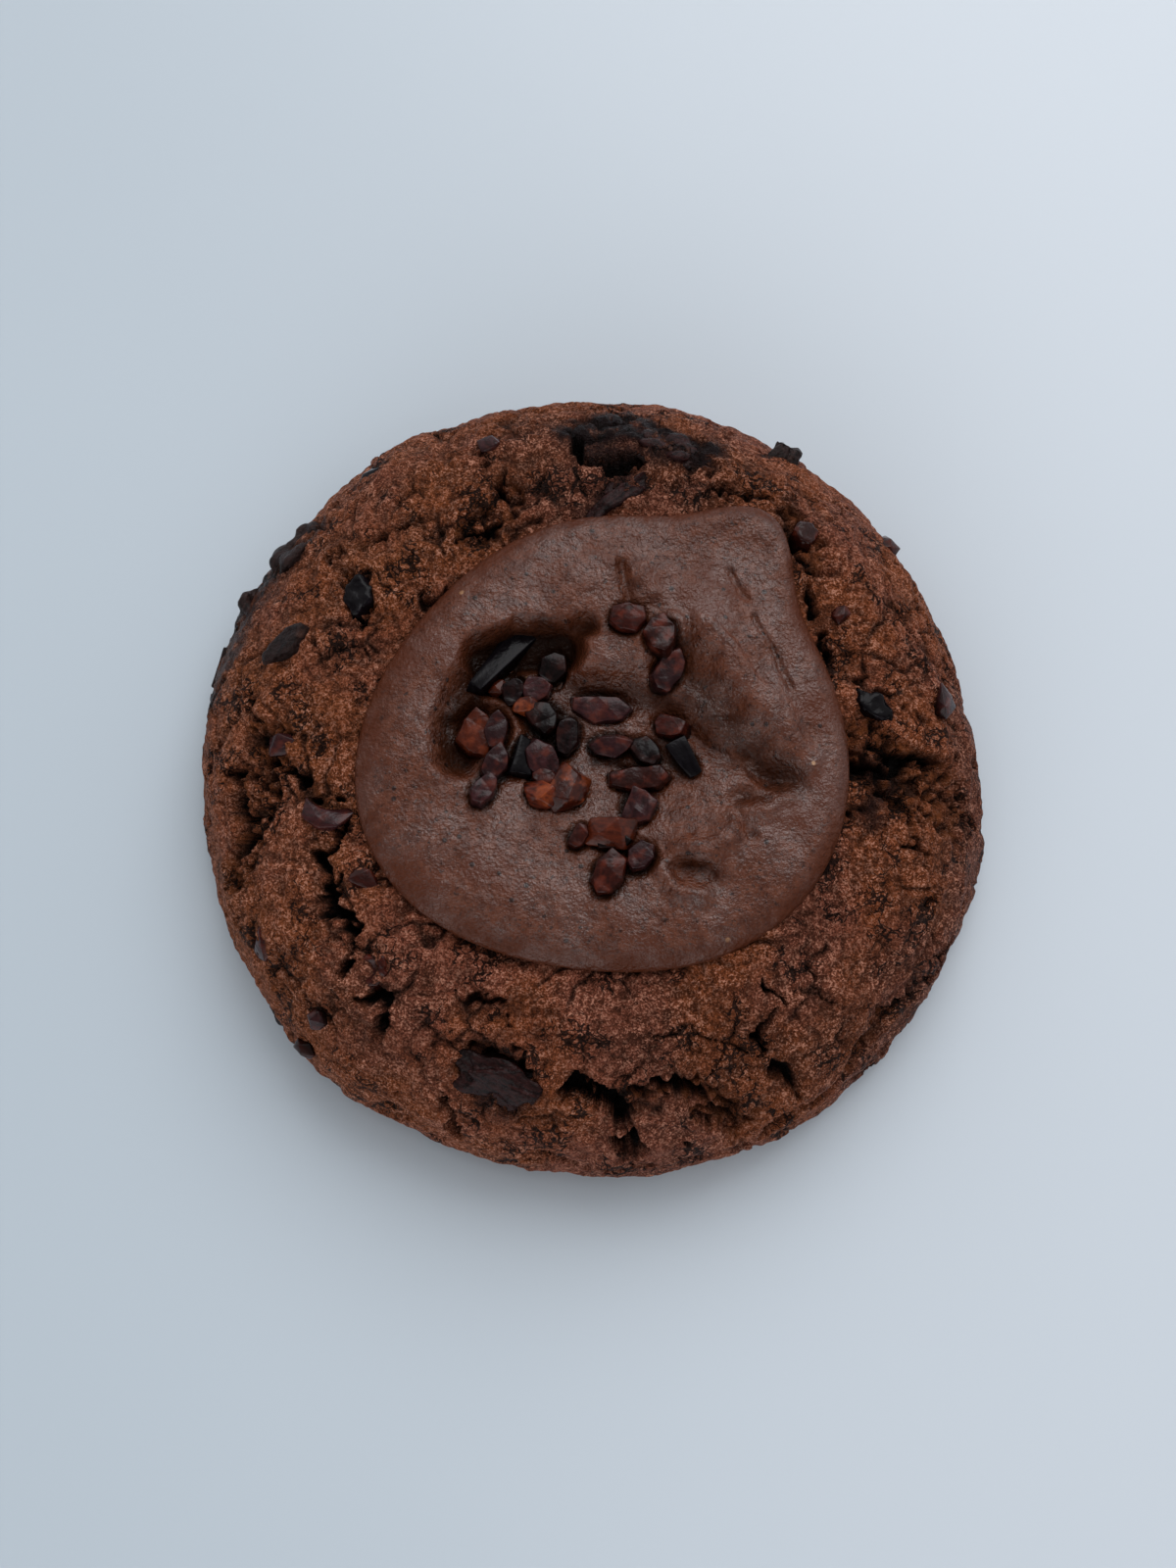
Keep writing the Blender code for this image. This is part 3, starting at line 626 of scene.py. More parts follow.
@dataclass(frozen=True)
class SpreadFinish(Finish):
    """Chocolate nut spread: satin brown with fine dark and cream specks; painted shade in hollows and at
    nibs.
    """

    brown: Colour = srgb(66, 31, 17)
    # Lighter tone of the spread's mottling, which is partly painted sheen.
    light: Colour = srgb(92, 50, 33)
    warm: Colour = srgb(78, 37, 20)
    # Painted shade: the warm brown of the rounded rim, which lacks the sheen of the flats.
    brim: Colour = srgb(72, 35, 20)
    # Dark tone: the spread's dark specks, and the dark side of the painted sheen mottling.
    dark: Colour = srgb(36, 15, 8)
    cream: Colour = srgb(158, 118, 84)
    # Near black for painted shade, partly oil, in the deep hollow, between the nibs and at their feet.
    oily_and_shaded: Colour = srgb(17, 7, 3)
    mottle_and_sheen: Mottle = Mottle(700.0, 6.0, 0.72, 0.36, 0.64)
    dark_and_sheen_specks: Mottle = Mottle(1700.0, 4.0, 0.7, 0.56, 0.68)
    swirls: Mottle = Mottle(150.0, 5.0, 0.6, 0.52, 0.66)
    gleams: Mottle = Mottle(170.0, 6.0, 0.66, 0.42, 0.6)
    bumps: float = 0.00034

    def make(self) -> bpy.types.Material:
        """Build the material and return it."""
        graph, shader = self.start(0.3, 0.4)
        # Mottling, partly the spread's own and partly painted sheen: light and dark spots that stand in for
        # glints.
        tone = graph.blend(graph.mottle(self.mottle_and_sheen), self.brown, self.light)
        tone = graph.blend(graph.mottle(self.dark_and_sheen_specks), tone, self.dark)
        tone = graph.blend(graph.mottle(self.swirls), tone, self.warm)
        tone = graph.blend(SPECKS.over(graph, 700.0, 0.26, 0.2), tone, self.dark)
        tone = graph.blend(SPECKS.over(graph, 420.0, 0.16, 0.1), tone, self.cream)
        brim = graph.ramp(graph.stored("brim"), 0.0, 0.45)
        # Painted shade: the rounded rim's slope is browned, as if it caught none of the flats' sheen.
        tone = graph.blend(graph.times(brim, 0.7), tone, self.brim)
        # Painted shade, partly oil: the hollows, the shade strokes and the nibs' feet are darkened almost to
        # black.
        wet_and_shaded = graph.sum(graph.stored("pit_shade"), graph.stored("contact"), "MAXIMUM")
        tone = graph.blend(graph.times(wet_and_shaded, 0.95), tone, self.oily_and_shaded)
        sheen = graph.times(graph.mottle(self.gleams), 0.26)
        dull = graph.sum(graph.times(brim, 0.14), graph.times(wet_and_shaded, 0.34))
        shine = graph.sum(graph.sum(sheen, 0.26), dull, "SUBTRACT")
        graph.tree.links.new(graph.sum(shine, 0.04, "MAXIMUM"), shader.inputs["Specular IOR Level"])
        rough = graph.sum(graph.times(graph.noise(900.0, 4.0, 0.7), 0.32), 0.04)
        rough = graph.sum(rough, graph.times(brim, 0.16))
        graph.tree.links.new(rough, shader.inputs["Roughness"])
        height = graph.sum(graph.noise(950.0, 4.0, 0.62), graph.times(graph.noise(2600.0, 2.0), 0.6))
        self.bump(graph, shader, height, self.bumps)
        return self.coloured(graph, shader, tone)


@dataclass(frozen=True)
class NibFinish(Finish):
    """Broken cacao nib or chocolate: streaked along the piece, half glossy."""

    dark: Colour
    light: Colour
    # Redder tone of the broken edges, partly painted highlight along them.
    edge: Colour
    roughness: float = 0.14
    specular: float = 0.17
    bumps: float = 0.00008
    # Painted shade: near black for the piece's lower, sunken part.
    foot: Colour = srgb(10, 5, 4)
    edge_tone_and_highlight: Mottle = Mottle(700.0, 3.0, 0.5, 0.46, 0.72)

    def make(self) -> bpy.types.Material:
        """Build the material and return it."""
        graph, shader = self.start(self.roughness, self.specular)
        own = graph.add("ShaderNodeAttribute", set_attribute_name="own").outputs["Vector"]
        streak = graph.add("ShaderNodeTexNoise", Vector=own, Scale=1.6, Detail=4.0).outputs["Fac"]
        share = graph.times(graph.ramp(streak, 0.28, 0.74), graph.stored("tint"))
        tone = graph.blend(share, self.dark, self.light)
        # The edges, in patches, take the edge colour: partly their own redder tone, partly painted highlight.
        tone = graph.blend(graph.times(graph.stored("rim"), graph.mottle(self.edge_tone_and_highlight)), tone, self.edge)
        # Painted shade: the lower part of each piece is darkened almost to black.
        tone = graph.blend(graph.stored("foot"), tone, self.foot)
        self.bump(graph, shader, GRAIN.over(graph, 900.0, 2400.0), self.bumps)
        return self.coloured(graph, shader, tone)


@dataclass(frozen=True)
class SlabFinish(Finish):
    """A pale, slightly glossy slab, with painted light: it is brighter towards +X."""

    # Painted light: the slab's colour on its darker side and on its brighter side.
    left: Colour = srgb(179, 191, 200)
    right: Colour = srgb(198, 207, 215)

    def make(self) -> bpy.types.Material:
        """Build the material and return it."""
        graph, shader = self.start(0.24, 0.5)
        # Painted light: the slab grows brighter towards +X, with soft clouds in the change.
        across = graph.add("ShaderNodeSeparateXYZ", Vector=graph.place()).outputs["X"]
        cloud = graph.times(graph.sum(graph.noise(9.0, 3.0), -0.5), 0.05)
        tone = graph.blend(graph.ramp(graph.sum(across, cloud), -0.09, 0.08), self.left, self.right)
        return self.coloured(graph, shader, tone)


FINISHES: dict[Kind, NibFinish] = {
    Kind.MAUVE: NibFinish("cacao nib mauve", srgb(30, 13, 14), srgb(54, 26, 28), srgb(76, 34, 27)),
    Kind.RED: NibFinish("cacao nib red", srgb(32, 10, 7), srgb(54, 17, 11), srgb(78, 30, 19)),
    Kind.EMBER: NibFinish("cacao nib ember", srgb(38, 11, 6), srgb(88, 32, 15), srgb(130, 60, 30)),
    Kind.RUST: NibFinish("cacao nib rust", srgb(52, 18, 9), srgb(76, 29, 14), srgb(96, 42, 24)),
    Kind.DARK: NibFinish("cacao nib dark", srgb(7, 3, 3), srgb(22, 9, 10), srgb(40, 18, 15), specular=0.13),
    Kind.CHOCOLATE: NibFinish(
        "dark chocolate", srgb(6, 4, 6), srgb(13, 10, 13), srgb(28, 24, 29), 0.14, 0.09, 0.00005
    ),
    Kind.MELT: NibFinish(
        "melted chocolate", srgb(10, 4, 4), srgb(44, 21, 20), srgb(58, 30, 26), 0.26, 0.09, 0.0003
    ),
    Kind.CRUSTED: NibFinish(
        "baked chocolate", srgb(19, 11, 10), srgb(46, 31, 29), srgb(62, 42, 36), 0.45, 0.12, 0.0004
    ),
}


@dataclass(frozen=True)
class Small:
    """One nib, sliver or baked-in piece: its place, its size, its turn and its sort."""

    at: Point
    size: Size
    turn: float
    kind: Kind
    form: Form = Form.BROKEN
    tip: float = 0.0
    roll: float = 0.0
    bend: float = 0.0


def facets_of(bm: bmesh.types.BMesh) -> np.ndarray:
    """The planes of a shape's faces: one row of a normal and its offset for each."""
    return np.array([(*face.normal, face.normal.dot(face.verts[0].co)) for face in bm.faces])


def rims_of(bm: bmesh.types.BMesh, facets: np.ndarray, width: float) -> np.ndarray:
    """How near each vertex is to an edge between two facets, from 0 to 1.

    Args:
        bm: The finished shape.
        facets: The planes of the shape that it was made from.
        width: How far in from an edge the rim reaches.

    Returns:
        One value for each vertex.
    """
    points, _ = arrays_of(bm)
    depth = np.sort(np.abs(facets[:, 3] - points @ facets[:, :3].T), axis=1)
    return falloff(depth[:, 1], 0.5 * width, 0.5 * width)


def broken_shape(size: Size, seed: int) -> Shape:
    """A fragment with flat breaks, softened edges and a slightly rough skin.

    Args:
        size: Length, width and height.
        seed: Picks the shape.

    Returns:
        The closed shape round its own middle, and how near each vertex is to an edge.
    """
    bm = bmesh.new()
    corners = 12
    shift = Vector((3.1 * seed, 7.7, -2.3 * seed))
    for index in range(corners):
        height = 1.0 - 2.0 * (index + 0.5) / corners
        angle = index * GOLDEN_ANGLE + seed
        ring = math.sqrt(1.0 - height * height)
        way = Vector((ring * math.cos(angle), ring * math.sin(angle), height))
        reach = 0.6 * (1.0 + 0.36 * noise.noise(way * 1.7 + shift))
        boxy = max(abs(way.x), abs(way.y), abs(way.z)) ** 0.7
        bm.verts.new([way[axis] * size[axis] * reach / boxy for axis in range(3)])
    bmesh.ops.convex_hull(bm, input=bm.verts)
    loose = [vert for vert in bm.verts if not vert.link_faces]
    bmesh.ops.delete(bm, geom=loose, context="VERTS")
    bm.normal_update()
    facets = facets_of(bm)
    soften(bm, 0.05 * min(size))
    rims = rims_of(bm, facets, 0.18)
    roughen(bm, 0.06 * min(size), 0.9, seed)
    return bm, rims


def sliver_shape(size: Size, seed: int) -> Shape:
    """A flat split of chocolate with one end narrower.

    Args:
        size: Length, width and height.
        seed: Picks the shape.

    Returns:
        The closed shape round its own middle, and how near each vertex is to an edge.
    """
    bm = bmesh.new()
    bmesh.ops.create_cube(bm, size=1.0)
    for vert in bm.verts:
        way = vert.co.copy()
        place = way * 2.1 + Vector((seed, 2.0 * seed, 1.0))
        uneven = [noise.noise(place + Vector(shift)) for shift in SLIVER_SHIFTS]
        taper = 1.0 - 0.5 * (way.x + 0.5)
        vert.co.x = (way.x + 0.16 * uneven[0]) * size[0]
        vert.co.y = (way.y * taper + 0.12 * uneven[1]) * size[1]
        vert.co.z = (way.z + 0.15 * uneven[2]) * size[2]
    bm.normal_update()
    facets = facets_of(bm)
    bmesh.ops.subdivide_edges(bm, edges=bm.edges, cuts=1, use_grid_fill=True)
    roughen(bm, 0.12 * min(size), 0.4, seed)
    soften(bm, 0.08 * min(size))
    return bm, rims_of(bm, facets, 0.15)


def lifted_top(bm: bmesh.types.BMesh) -> list[bmesh.types.BMVert]:
    """Extrude a flat face, and return the corners of the new top."""
    lifted = bmesh.ops.extrude_face_region(bm, geom=bm.faces[:])
    return [item for item in lifted["geom"] if isinstance(item, bmesh.types.BMVert)]


def pressed_shape(size: Size, seed: int) -> Shape:
    """A piece that lies flush in the crust: an uneven outline and a worn, nearly flat top.

    Args:
        size: Length, width and height.
        seed: Picks the shape.

    Returns:
        The closed shape round its own middle, and how near each vertex is to an edge.
    """
    bm = bmesh.new()
    bmesh.ops.create_circle(bm, cap_ends=True, segments=11, radius=0.5)
    for vert in bm.verts:
        way = vert.co.copy()
        reach = 1.0 + 0.42 * noise.noise(way * 3.1 + Vector((1.7 * seed, 3.3, 0.4 * seed)))
        vert.co = (way.x * size[0] * reach, way.y * size[1] * reach, -0.5 * size[2])
    top = lifted_top(bm)
    bmesh.ops.translate(bm, vec=(0.0, 0.0, size[2]), verts=top)
    bmesh.ops.scale(bm, vec=(0.86, 0.86, 1.0), verts=top)
    bmesh.ops.recalc_face_normals(bm, faces=bm.faces)
    bm.normal_update()
    facets = facets_of(bm)
    soften(bm, 0.14 * min(size))
    bmesh.ops.subdivide_edges(bm, edges=bm.edges, cuts=1, use_grid_fill=True)
    rims = rims_of(bm, facets, 0.3)
    roughen(bm, 0.16 * min(size), 1.3, seed)
    roughen(bm, 0.05 * min(size), 0.45, seed + 1)
    return bm, rims


def chip_shape(size: Size, seed: int) -> Shape:
    """A shell-like chip of a nib: a cornered outline, steep sides and a nearly flat, tilted top.

    Args:
        size: Length, width and height.
        seed: Picks the shape.

    Returns:
        The closed shape round its own middle, and how near each vertex is to an edge.
    """
    bm = bmesh.new()
    bmesh.ops.create_circle(bm, cap_ends=True, segments=7, radius=0.54)
    bmesh.ops.rotate(bm, cent=(0.0, 0.0, 0.0), matrix=Matrix.Rotation(0.7 * seed, 3, "Z"), verts=bm.verts)
    for vert in bm.verts:
        way = vert.co.copy()
        reach = 1.0 + 0.5 * noise.noise(way * 3.7 + Vector((2.3 * seed, 1.3, 0.9 * seed)))
        vert.co = (way.x * size[0] * reach, way.y * size[1] * reach, -0.5 * size[2])
    top = lifted_top(bm)
    for vert in top:
        tilt = 0.12 * vert.co.x / size[0] + 0.1 * noise.noise(vert.co + Vector((seed, 0.5, 2.0)))
        vert.co = (0.84 * vert.co.x, 0.8 * vert.co.y, (0.46 + tilt) * size[2])
    bmesh.ops.triangulate(bm, faces=bm.faces)
    bmesh.ops.recalc_face_normals(bm, faces=bm.faces)
    bm.normal_update()
    facets = facets_of(bm)
    soften(bm, 0.05 * min(size))
    rims = rims_of(bm, facets, 0.16)
    roughen(bm, 0.055 * min(size), 0.9, seed)
    roughen(bm, 0.03 * min(size), 0.35, seed + 1)
    return bm, rims


def melted_shape(size: Size, seed: int) -> Shape:
    """A melted, wrinkled lump.

    Args:
        size: Length, width and height.
        seed: Picks the shape.

    Returns:
        The closed shape round its own middle, with no edges for any vertex.
    """
    bm = bmesh.new()
    bmesh.ops.create_icosphere(bm, subdivisions=5, radius=0.5)
    shift = Vector((5.3 * seed, 1.9, 4.1 * seed))
    for vert in bm.verts:
        swell = 1.05 + 0.5 * noise.noise(vert.co * 3.2 + shift)
        vert.co = [vert.co[axis] * size[axis] * swell for axis in range(3)]
    roughen(bm, 0.36, 1.8, seed)
    roughen(bm, 0.16, 0.7, seed + 1)
    return bm, np.zeros(len(bm.verts))


def soften(bm: bmesh.types.BMesh, width: float) -> None:
    """Round the edges of a shape a little and split its faces for what follows."""
    rounded = {"segments": 2, "profile": 0.5, "affect": "EDGES", "material": -1, "clamp_overlap": True}
    bmesh.ops.bevel(bm, geom=bm.edges[:], offset=width, **rounded)
    bmesh.ops.triangulate(bm, faces=bm.faces)
    bmesh.ops.subdivide_edges(bm, edges=bm.edges, cuts=1, use_grid_fill=True)
    bmesh.ops.recalc_face_normals(bm, faces=bm.faces)


def roughen(bm: bmesh.types.BMesh, height: float, wavelength: float, seed: int) -> None:
    """Push a shape's surface in and out by noise along its normals."""
    bm.normal_update()
    points, normals = arrays_of(bm)
    moved = points + normals * (height * fine_noise(points, wavelength, seed))[:, None]
    place_all(bm, moved)


SHAPES: dict[Form, Callable[[Size, int], Shape]] = {
    Form.BROKEN: broken_shape,
    Form.SLIVER: sliver_shape,
    Form.MELTED: melted_shape,
    Form.PRESSED: pressed_shape,
    Form.CHIP: chip_shape,
}


@dataclass
class Dough:
    """The baked dough: its section, its outline, its cracks and its torn crumb."""

    radius: float = 44.14
    waves: tuple[Point, ...] = (
        (1, 0.14, 123.0), (2, 0.36, 55.0), (3, 0.34, 27.0), (4, 0.21, 44.0), (5, 0.12, 11.0), (6, 0.08, -3.0),
    )
    section: tuple[Point, ...] = (
        (0.0, 0.0), (24.0, 0.0), (40.6, 0.0), (42.6, 0.7), (43.8, 2.4), (44.14, 4.6), (43.7, 7.6),
        (42.4, 11.0), (40.2, 14.0), (37.0, 17.2), (32.5, 19.4), (28.0, 20.2), (22.0, 19.6),
        (12.0, 18.6), (0.0, 18.6),
    )
    steps: int = 880
    flank_step: float = 0.5
    shoulder_step: float = 0.31
    top_step: float = 0.29
    swells: tuple[Point, ...] = ((15.0, 0.9), (6.0, 0.55), (2.4, 0.26))
    cracks: tuple[Groove, ...] = (
        Groove(
            ((-29.6, 22.9, 16.8), (-25.9, 23.4, 18.2), (-19.8, 25.0, 19.5), (-16.7, 25.3, 19.7)),
            0.7, 1.8,
        ),
        Groove(((-12.4, 33.9, 17.7), (-9.8, 30.0, 19.6), (-11.2, 24.5, 20.1), (-14.9, 23.5, 20.0)), 0.9, 2.2),
        Groove(((-14.9, 23.5, 20.0), (-15.2, 19.6, 20.3), (-17.2, 17.2, 20.3)), 0.6, 1.6),
        Groove(((-26.2, 16.2, 19.6), (-24.6, 12.1, 20.0), (-26.1, 10.3, 20.0)), 0.5, 1.4),
        Groove(((-37.0, 8.6, 16.2), (-37.0, 4.2, 17.0), (-36.4, 1.3, 17.6), (-32.3, -2.6, 19.3)), 0.7, 2.0),
        Groove(
            ((-30.1, -5.1, 19.7), (-26.8, -5.4, 20.0), (-26.1, -7.8, 20.0), (-28.5, -11.1, 19.7)),
            0.7, 2.2,
        ),
        Groove(
            ((-28.5, -11.1, 19.7), (-28.5, -16.9, 19.0), (-25.8, -18.5, 19.5), (-26.0, -22.6, 18.4)),
            1.0, 3.2,
        ),
        Groove(((-25.5, -25.6, 17.7), (-21.9, -25.8, 18.7), (-22.0, -30.6, 16.6)), 0.8, 2.4),
        Groove(((-18.2, -34.1, 15.5), (-15.8, -37.1, 13.7), (-15.0, -40.0, 9.0)), 1.0, 3.0),
        Groove(((-9.0, -29.2, 19.7), (-8.0, -33.7, 18.3)), 0.5, 1.6),
        Groove(((-2.4, -35.9, 17.8), (1.2, -36.7, 17.4), (3.4, -38.7, 15.7), (4.8, -41.2, 11.5)), 1.5, 3.2),
        Groove(((7.6, -35.6, 17.6), (12.0, -36.8, 16.3), (16.0, -39.4, 10.5)), 1.2, 2.6),
        Groove(
            ((18.6, -24.6, 19.7), (19.8, -26.6, 19.1), (18.2, -29.4, 18.3), (18.8, -31.4, 17.4)),
            0.85, 2.6,
        ),
        Groove(((19.9, -32.8, 16.2), (21.6, -35.2, 12.6)), 0.7, 2.0),
        Groove(((39.6, -18.0, 7.0), (34.3, -24.1, 10.6), (31.1, -26.8, 12.4), (27.7, -31.3, 10.9)), 1.1, 2.6),
        Groove(((27.7, -31.3, 10.9), (25.1, -34.8, 8.8), (22.2, -36.1, 9.8), (17.0, -39.5, 8.0)), 1.0, 2.2),
        Groove(((26.5, -0.6, 20.1), (31.0, -1.0, 19.4), (38.0, 0.5, 15.5), (44.4, 2.0, 4.4)), 1.0, 2.4),
        Groove(((35.2, -8.8, 17.6), (36.3, -12.4, 16.2), (36.3, -14.8, 15.4)), 0.5, 1.7),
        Groove(((22.2, 26.0, 18.5), (23.9, 21.3, 19.5), (24.4, 16.2, 19.8), (27.0, 9.2, 19.9)), 1.0, 2.4),
        Groove(((27.0, 9.2, 19.9), (33.9, 6.4, 18.4), (36.5, 5.0, 17.0)), 0.6, 1.6),
        Groove(((12.9, 29.3, 19.5), (18.8, 30.1, 18.0), (21.3, 28.2, 18.0)), 0.8, 2.0),
        Groove(((6.0, 30.9, 19.6), (10.1, 31.4, 19.1), (12.6, 31.9, 18.5), (15.8, 34.9, 15.9)), 0.5, 1.6),
        Groove(((-2.0, 35.2, 17.9), (-0.6, 33.9, 18.6), (2.5, 33.2, 18.8), (5.2, 33.0, 18.7)), 1.3, 2.7),
        Groove(((-39.7, -1.0, 14.4), (-38.5, -8.7, 14.6), (-39.9, -13.5, 10.3)), 1.1, 2.8),
        Groove(((-12.7, -26.2, 19.8), (-9.6, -28.0, 19.7)), 0.6, 1.5),
        Groove(((35.1, -9.8, 17.5), (30.5, -8.8, 19.4), (27.8, -6.2, 20.0)), 0.6, 1.8),
    )
    flank_cracks: tuple[tuple[Point, ...], ...] = (
        ((1.0, 15.0), (3.5, 10.0), (2.0, 5.5), (3.5, 2.5)),
        ((-7.5, 10.0), (-5.0, 6.0), (-6.5, 3.0)),
        ((-45.0, 8.0), (-43.0, 4.5), (-40.0, 3.0)),
        ((-68.0, 7.0), (-65.5, 4.0), (-66.5, 2.5)),
        ((158.0, 13.0), (156.0, 8.0), (160.0, 4.0)),
        ((176.0, 12.0), (183.0, 8.0), (190.0, 7.0)),
        ((205.0, 11.0), (212.0, 8.0), (214.0, 4.5)),
        ((238.0, 12.0), (241.0, 8.0), (238.0, 4.0)),
        ((262.0, 10.0), (270.0, 7.5), (279.0, 8.0)),
        ((283.0, 12.0), (286.0, 6.0)),
        ((330.0, 12.0), (338.0, 8.0), (345.0, 7.0)),
        ((12.0, 14.0), (15.0, 9.0), (13.0, 5.0)),
        ((26.0, 12.0), (34.0, 9.0), (40.0, 9.5)),
        ((68.0, 13.0), (70.0, 8.0), (67.0, 4.0)),
        ((84.0, 9.0), (96.0, 8.0), (101.0, 10.0)),
        ((113.0, 14.0), (115.0, 9.0), (111.0, 4.5)),
        ((131.0, 12.0), (136.0, 7.5)),
    )
    flank_half_width: float = 0.5
    flank_depth: float = 1.5
    patches: tuple[Groove, ...] = (
        Groove(((-36.0, 1.5, 17.6), (-37.4, -6.0, 15.6), (-38.0, -11.5, 13.0)), 4.2),
        Groove(((29.5, 0.6, 19.7), (34.5, -2.5, 18.2), (40.0, -4.0, 14.0)), 5.4),
        Groove(((-9.1, 29.5, 19.8), (-12.6, 24.5, 20.1)), 2.8),
        Groove(((22.2, 27.4, 18.3), (25.4, 21.5, 19.1)), 2.6),
        Groove(((3.7, -38.2, 16.2), (7.5, -36.4, 17.2)), 2.4),
        Groove(((12.0, -37.2, 16.0), (16.0, -38.8, 12.0)), 2.8),
        Groove(((31.5, -27.0, 11.5), (25.5, -34.5, 8.5)), 2.4),
        Groove(((-26.2, 19.6, 19.2), (-25.4, 17.4, 19.8)), 2.0),
        Groove(((-12.5, -34.0, 18.3), (-8.0, -36.6, 17.2)), 3.4),
    )
    stains: tuple[Groove, ...] = (
        Groove(((-2.0, 36.8, 17.0), (3.0, 38.2, 15.5), (9.0, 37.4, 16.0), (12.5, 35.0, 16.5)), 3.4, 1.0),
        Groove(((-1.6, 35.2, 17.8), (3.5, 34.4, 18.2), (9.4, 34.2, 18.0)), 2.4, 0.9),
        Groove(((-0.8, 27.4, 20.2), (3.6, 30.4, 19.6)), 2.0, 0.9),
        Groove(((-11.0, -33.5, 18.0), (-9.6, -37.0, 16.0)), 3.4, 0.8),
        Groove(((29.4, 0.2, 19.7), (32.6, -2.6, 18.8), (29.6, -6.4, 19.6)), 2.0, 0.85),
        Groove(((-33.8, 25.9, 12.0), (-38.9, 20.0, 9.0), (-41.0, 14.0, 8.0)), 3.0, 0.7),
        Groove(((-31.5, 28.9, 13.6), (-36.4, 22.7, 12.4), (-40.0, 15.5, 11.0), (-42.0, 9.0, 8.5)), 2.4, 0.85),
        Groove(((21.0, 26.5, 18.4), (24.0, 21.5, 19.2)), 1.8, 0.7),
    )
    dent: Groove = Groove(((-12.7, -26.2, 19.8), (-8.9, -27.7, 19.8), (-5.2, -29.4, 19.5)), 1.9, 1.1)
    scale_size: float = 6.0
    scale_gap: float = 0.09
    scale_depth: float = 0.6
    crack_edge: float = 0.26
    torn_edge: float = 0.45
    stain_edge: float = 1.2
    foot_level: float = 2.0
    foot_fade: float = 1.6
    calm_share: float = 0.4
    calm_level: float = 13.5
    calm_fade: float = 4.5
    gap_reach: float = 0.58
    gap_edge: float = 0.18
    # Crack depth at which the painted shade in a crack is full.
    dark_depth: float = 1.7
    warm_share: float = 0.7
    warm_edge: float = -8.0
    warm_fade: float = 26.0
    crumb_size: float = 1.15
    crumb_depth: float = 1.25
    clumps: tuple[Point, ...] = ((2.8, 0.2), (1.35, 0.25), (0.75, 0.19))
    seat_height: float = 19.0
    seat_inset: float = 1.1

    def outline_factor(self, angle: np.ndarray) -> np.ndarray:
        """How far the edge is from a true circle at each angle, as a factor."""
        radius = np.full_like(angle, self.radius)
        for count, height, turned in self.waves:
            radius += height * np.cos(count * (angle + math.radians(turned)))
        return radius / self.radius

    def section_points(self) -> list[tuple[float, float]]:
        """The half section with its points close together where the crust shows.

        Returns:
            Radius and height of each corner, from the middle of the base to the top's middle.
        """
        corners = np.array(self.section)
        runs = np.linalg.norm(np.diff(corners, axis=0), axis=1)
        travelled = np.concatenate(([0.0], np.cumsum(runs)))
        foot, shoulder, top, inner = travelled[2], travelled[7], travelled[9], travelled[-3]
        stops = np.concatenate(
            (
                travelled[:2],
                np.arange(foot, shoulder, self.flank_step),
                np.arange(shoulder, top, self.shoulder_step),
                np.arange(top, inner, self.top_step),
                travelled[-3:],
            )
        )
        radii = np.interp(stops, travelled, corners[:, 0])
        heights = np.interp(stops, travelled, corners[:, 1])
        return list(zip(radii, heights))

    def flank_groove(self, stops: tuple[Point, ...]) -> Groove:
        """A crack given by degrees and heights, laid on the dough's side."""
        side = self.section[3:-3]
        path = []
        for degrees, height in stops:
            radius = np.interp(height, [row[1] for row in side], [row[0] for row in side])
            angle = math.radians(degrees)
            path.append((radius * math.cos(angle), radius * math.sin(angle), height))
        return Groove(tuple(path), self.flank_half_width, self.flank_depth)

    def crack_depth(self, points: np.ndarray) -> np.ndarray:
        """How deep the cracks go at each point."""
        ragged = wobbled(wobbled(swayed(points), 1.7, 1.1, seed=31), 0.75, 0.65, seed=35)
        pinch = 0.78 + 0.5 * fine_noise(points, 2.7, seed=37)
        depth = np.zeros(len(points))
        flank = tuple(self.flank_groove(stops) for stops in self.flank_cracks)
        for groove in self.cracks + flank:
            reach = path_distance(ragged, groove.path)
            opening = np.maximum(pinch, 0.5 * groove.half_width)
            side = falloff(reach, groove.half_width * opening, self.crack_edge)
            depth = np.maximum(depth, groove.depth * np.sqrt(opening) * side)
        return depth

    def torn_share(self, points: np.ndarray) -> np.ndarray:
        """How much of the crust is gone at each point, from 0 to 1."""
        ragged = wobbled(wobbled(swayed(points), 1.9, 1.0, seed=41), 0.8, 0.4, seed=45)
        torn = np.zeros(len(points))
        for patch in self.patches:
            reach = path_distance(ragged, patch.path)
            torn = np.maximum(torn, falloff(reach, 0.72 * patch.half_width, self.torn_edge))
        return torn

    def stained(self, points: np.ndarray) -> np.ndarray:
        """How much melted chocolate has soaked into the crust at each point, from 0 to 1."""
        ragged = wobbled(swayed(points), 2.2, 0.9, seed=43)
        stain = np.zeros(len(points))
        for patch in self.stains:
            reach = path_distance(ragged, patch.path)
            soaked = patch.depth * falloff(reach, 0.8 * patch.half_width, self.stain_edge)
            stain = np.maximum(stain, soaked)
        return stain

    def hairlines(self, points: np.ndarray) -> np.ndarray:
        """Where the thin short cracks between the crust's plates are, from 0 to 1."""
        ragged = wobbled(wobbled(points, 3.0, 1.3, seed=61), 1.0, 0.4, seed=65)
        near, next_near = cells_at(ragged, self.scale_size, seed=3)
        seams = falloff(next_near - near, self.scale_gap * 0.5, self.scale_gap * 0.5)
        return seams * falloff(-noise_at(points, 6.0, seed=9), -0.16, 0.1)

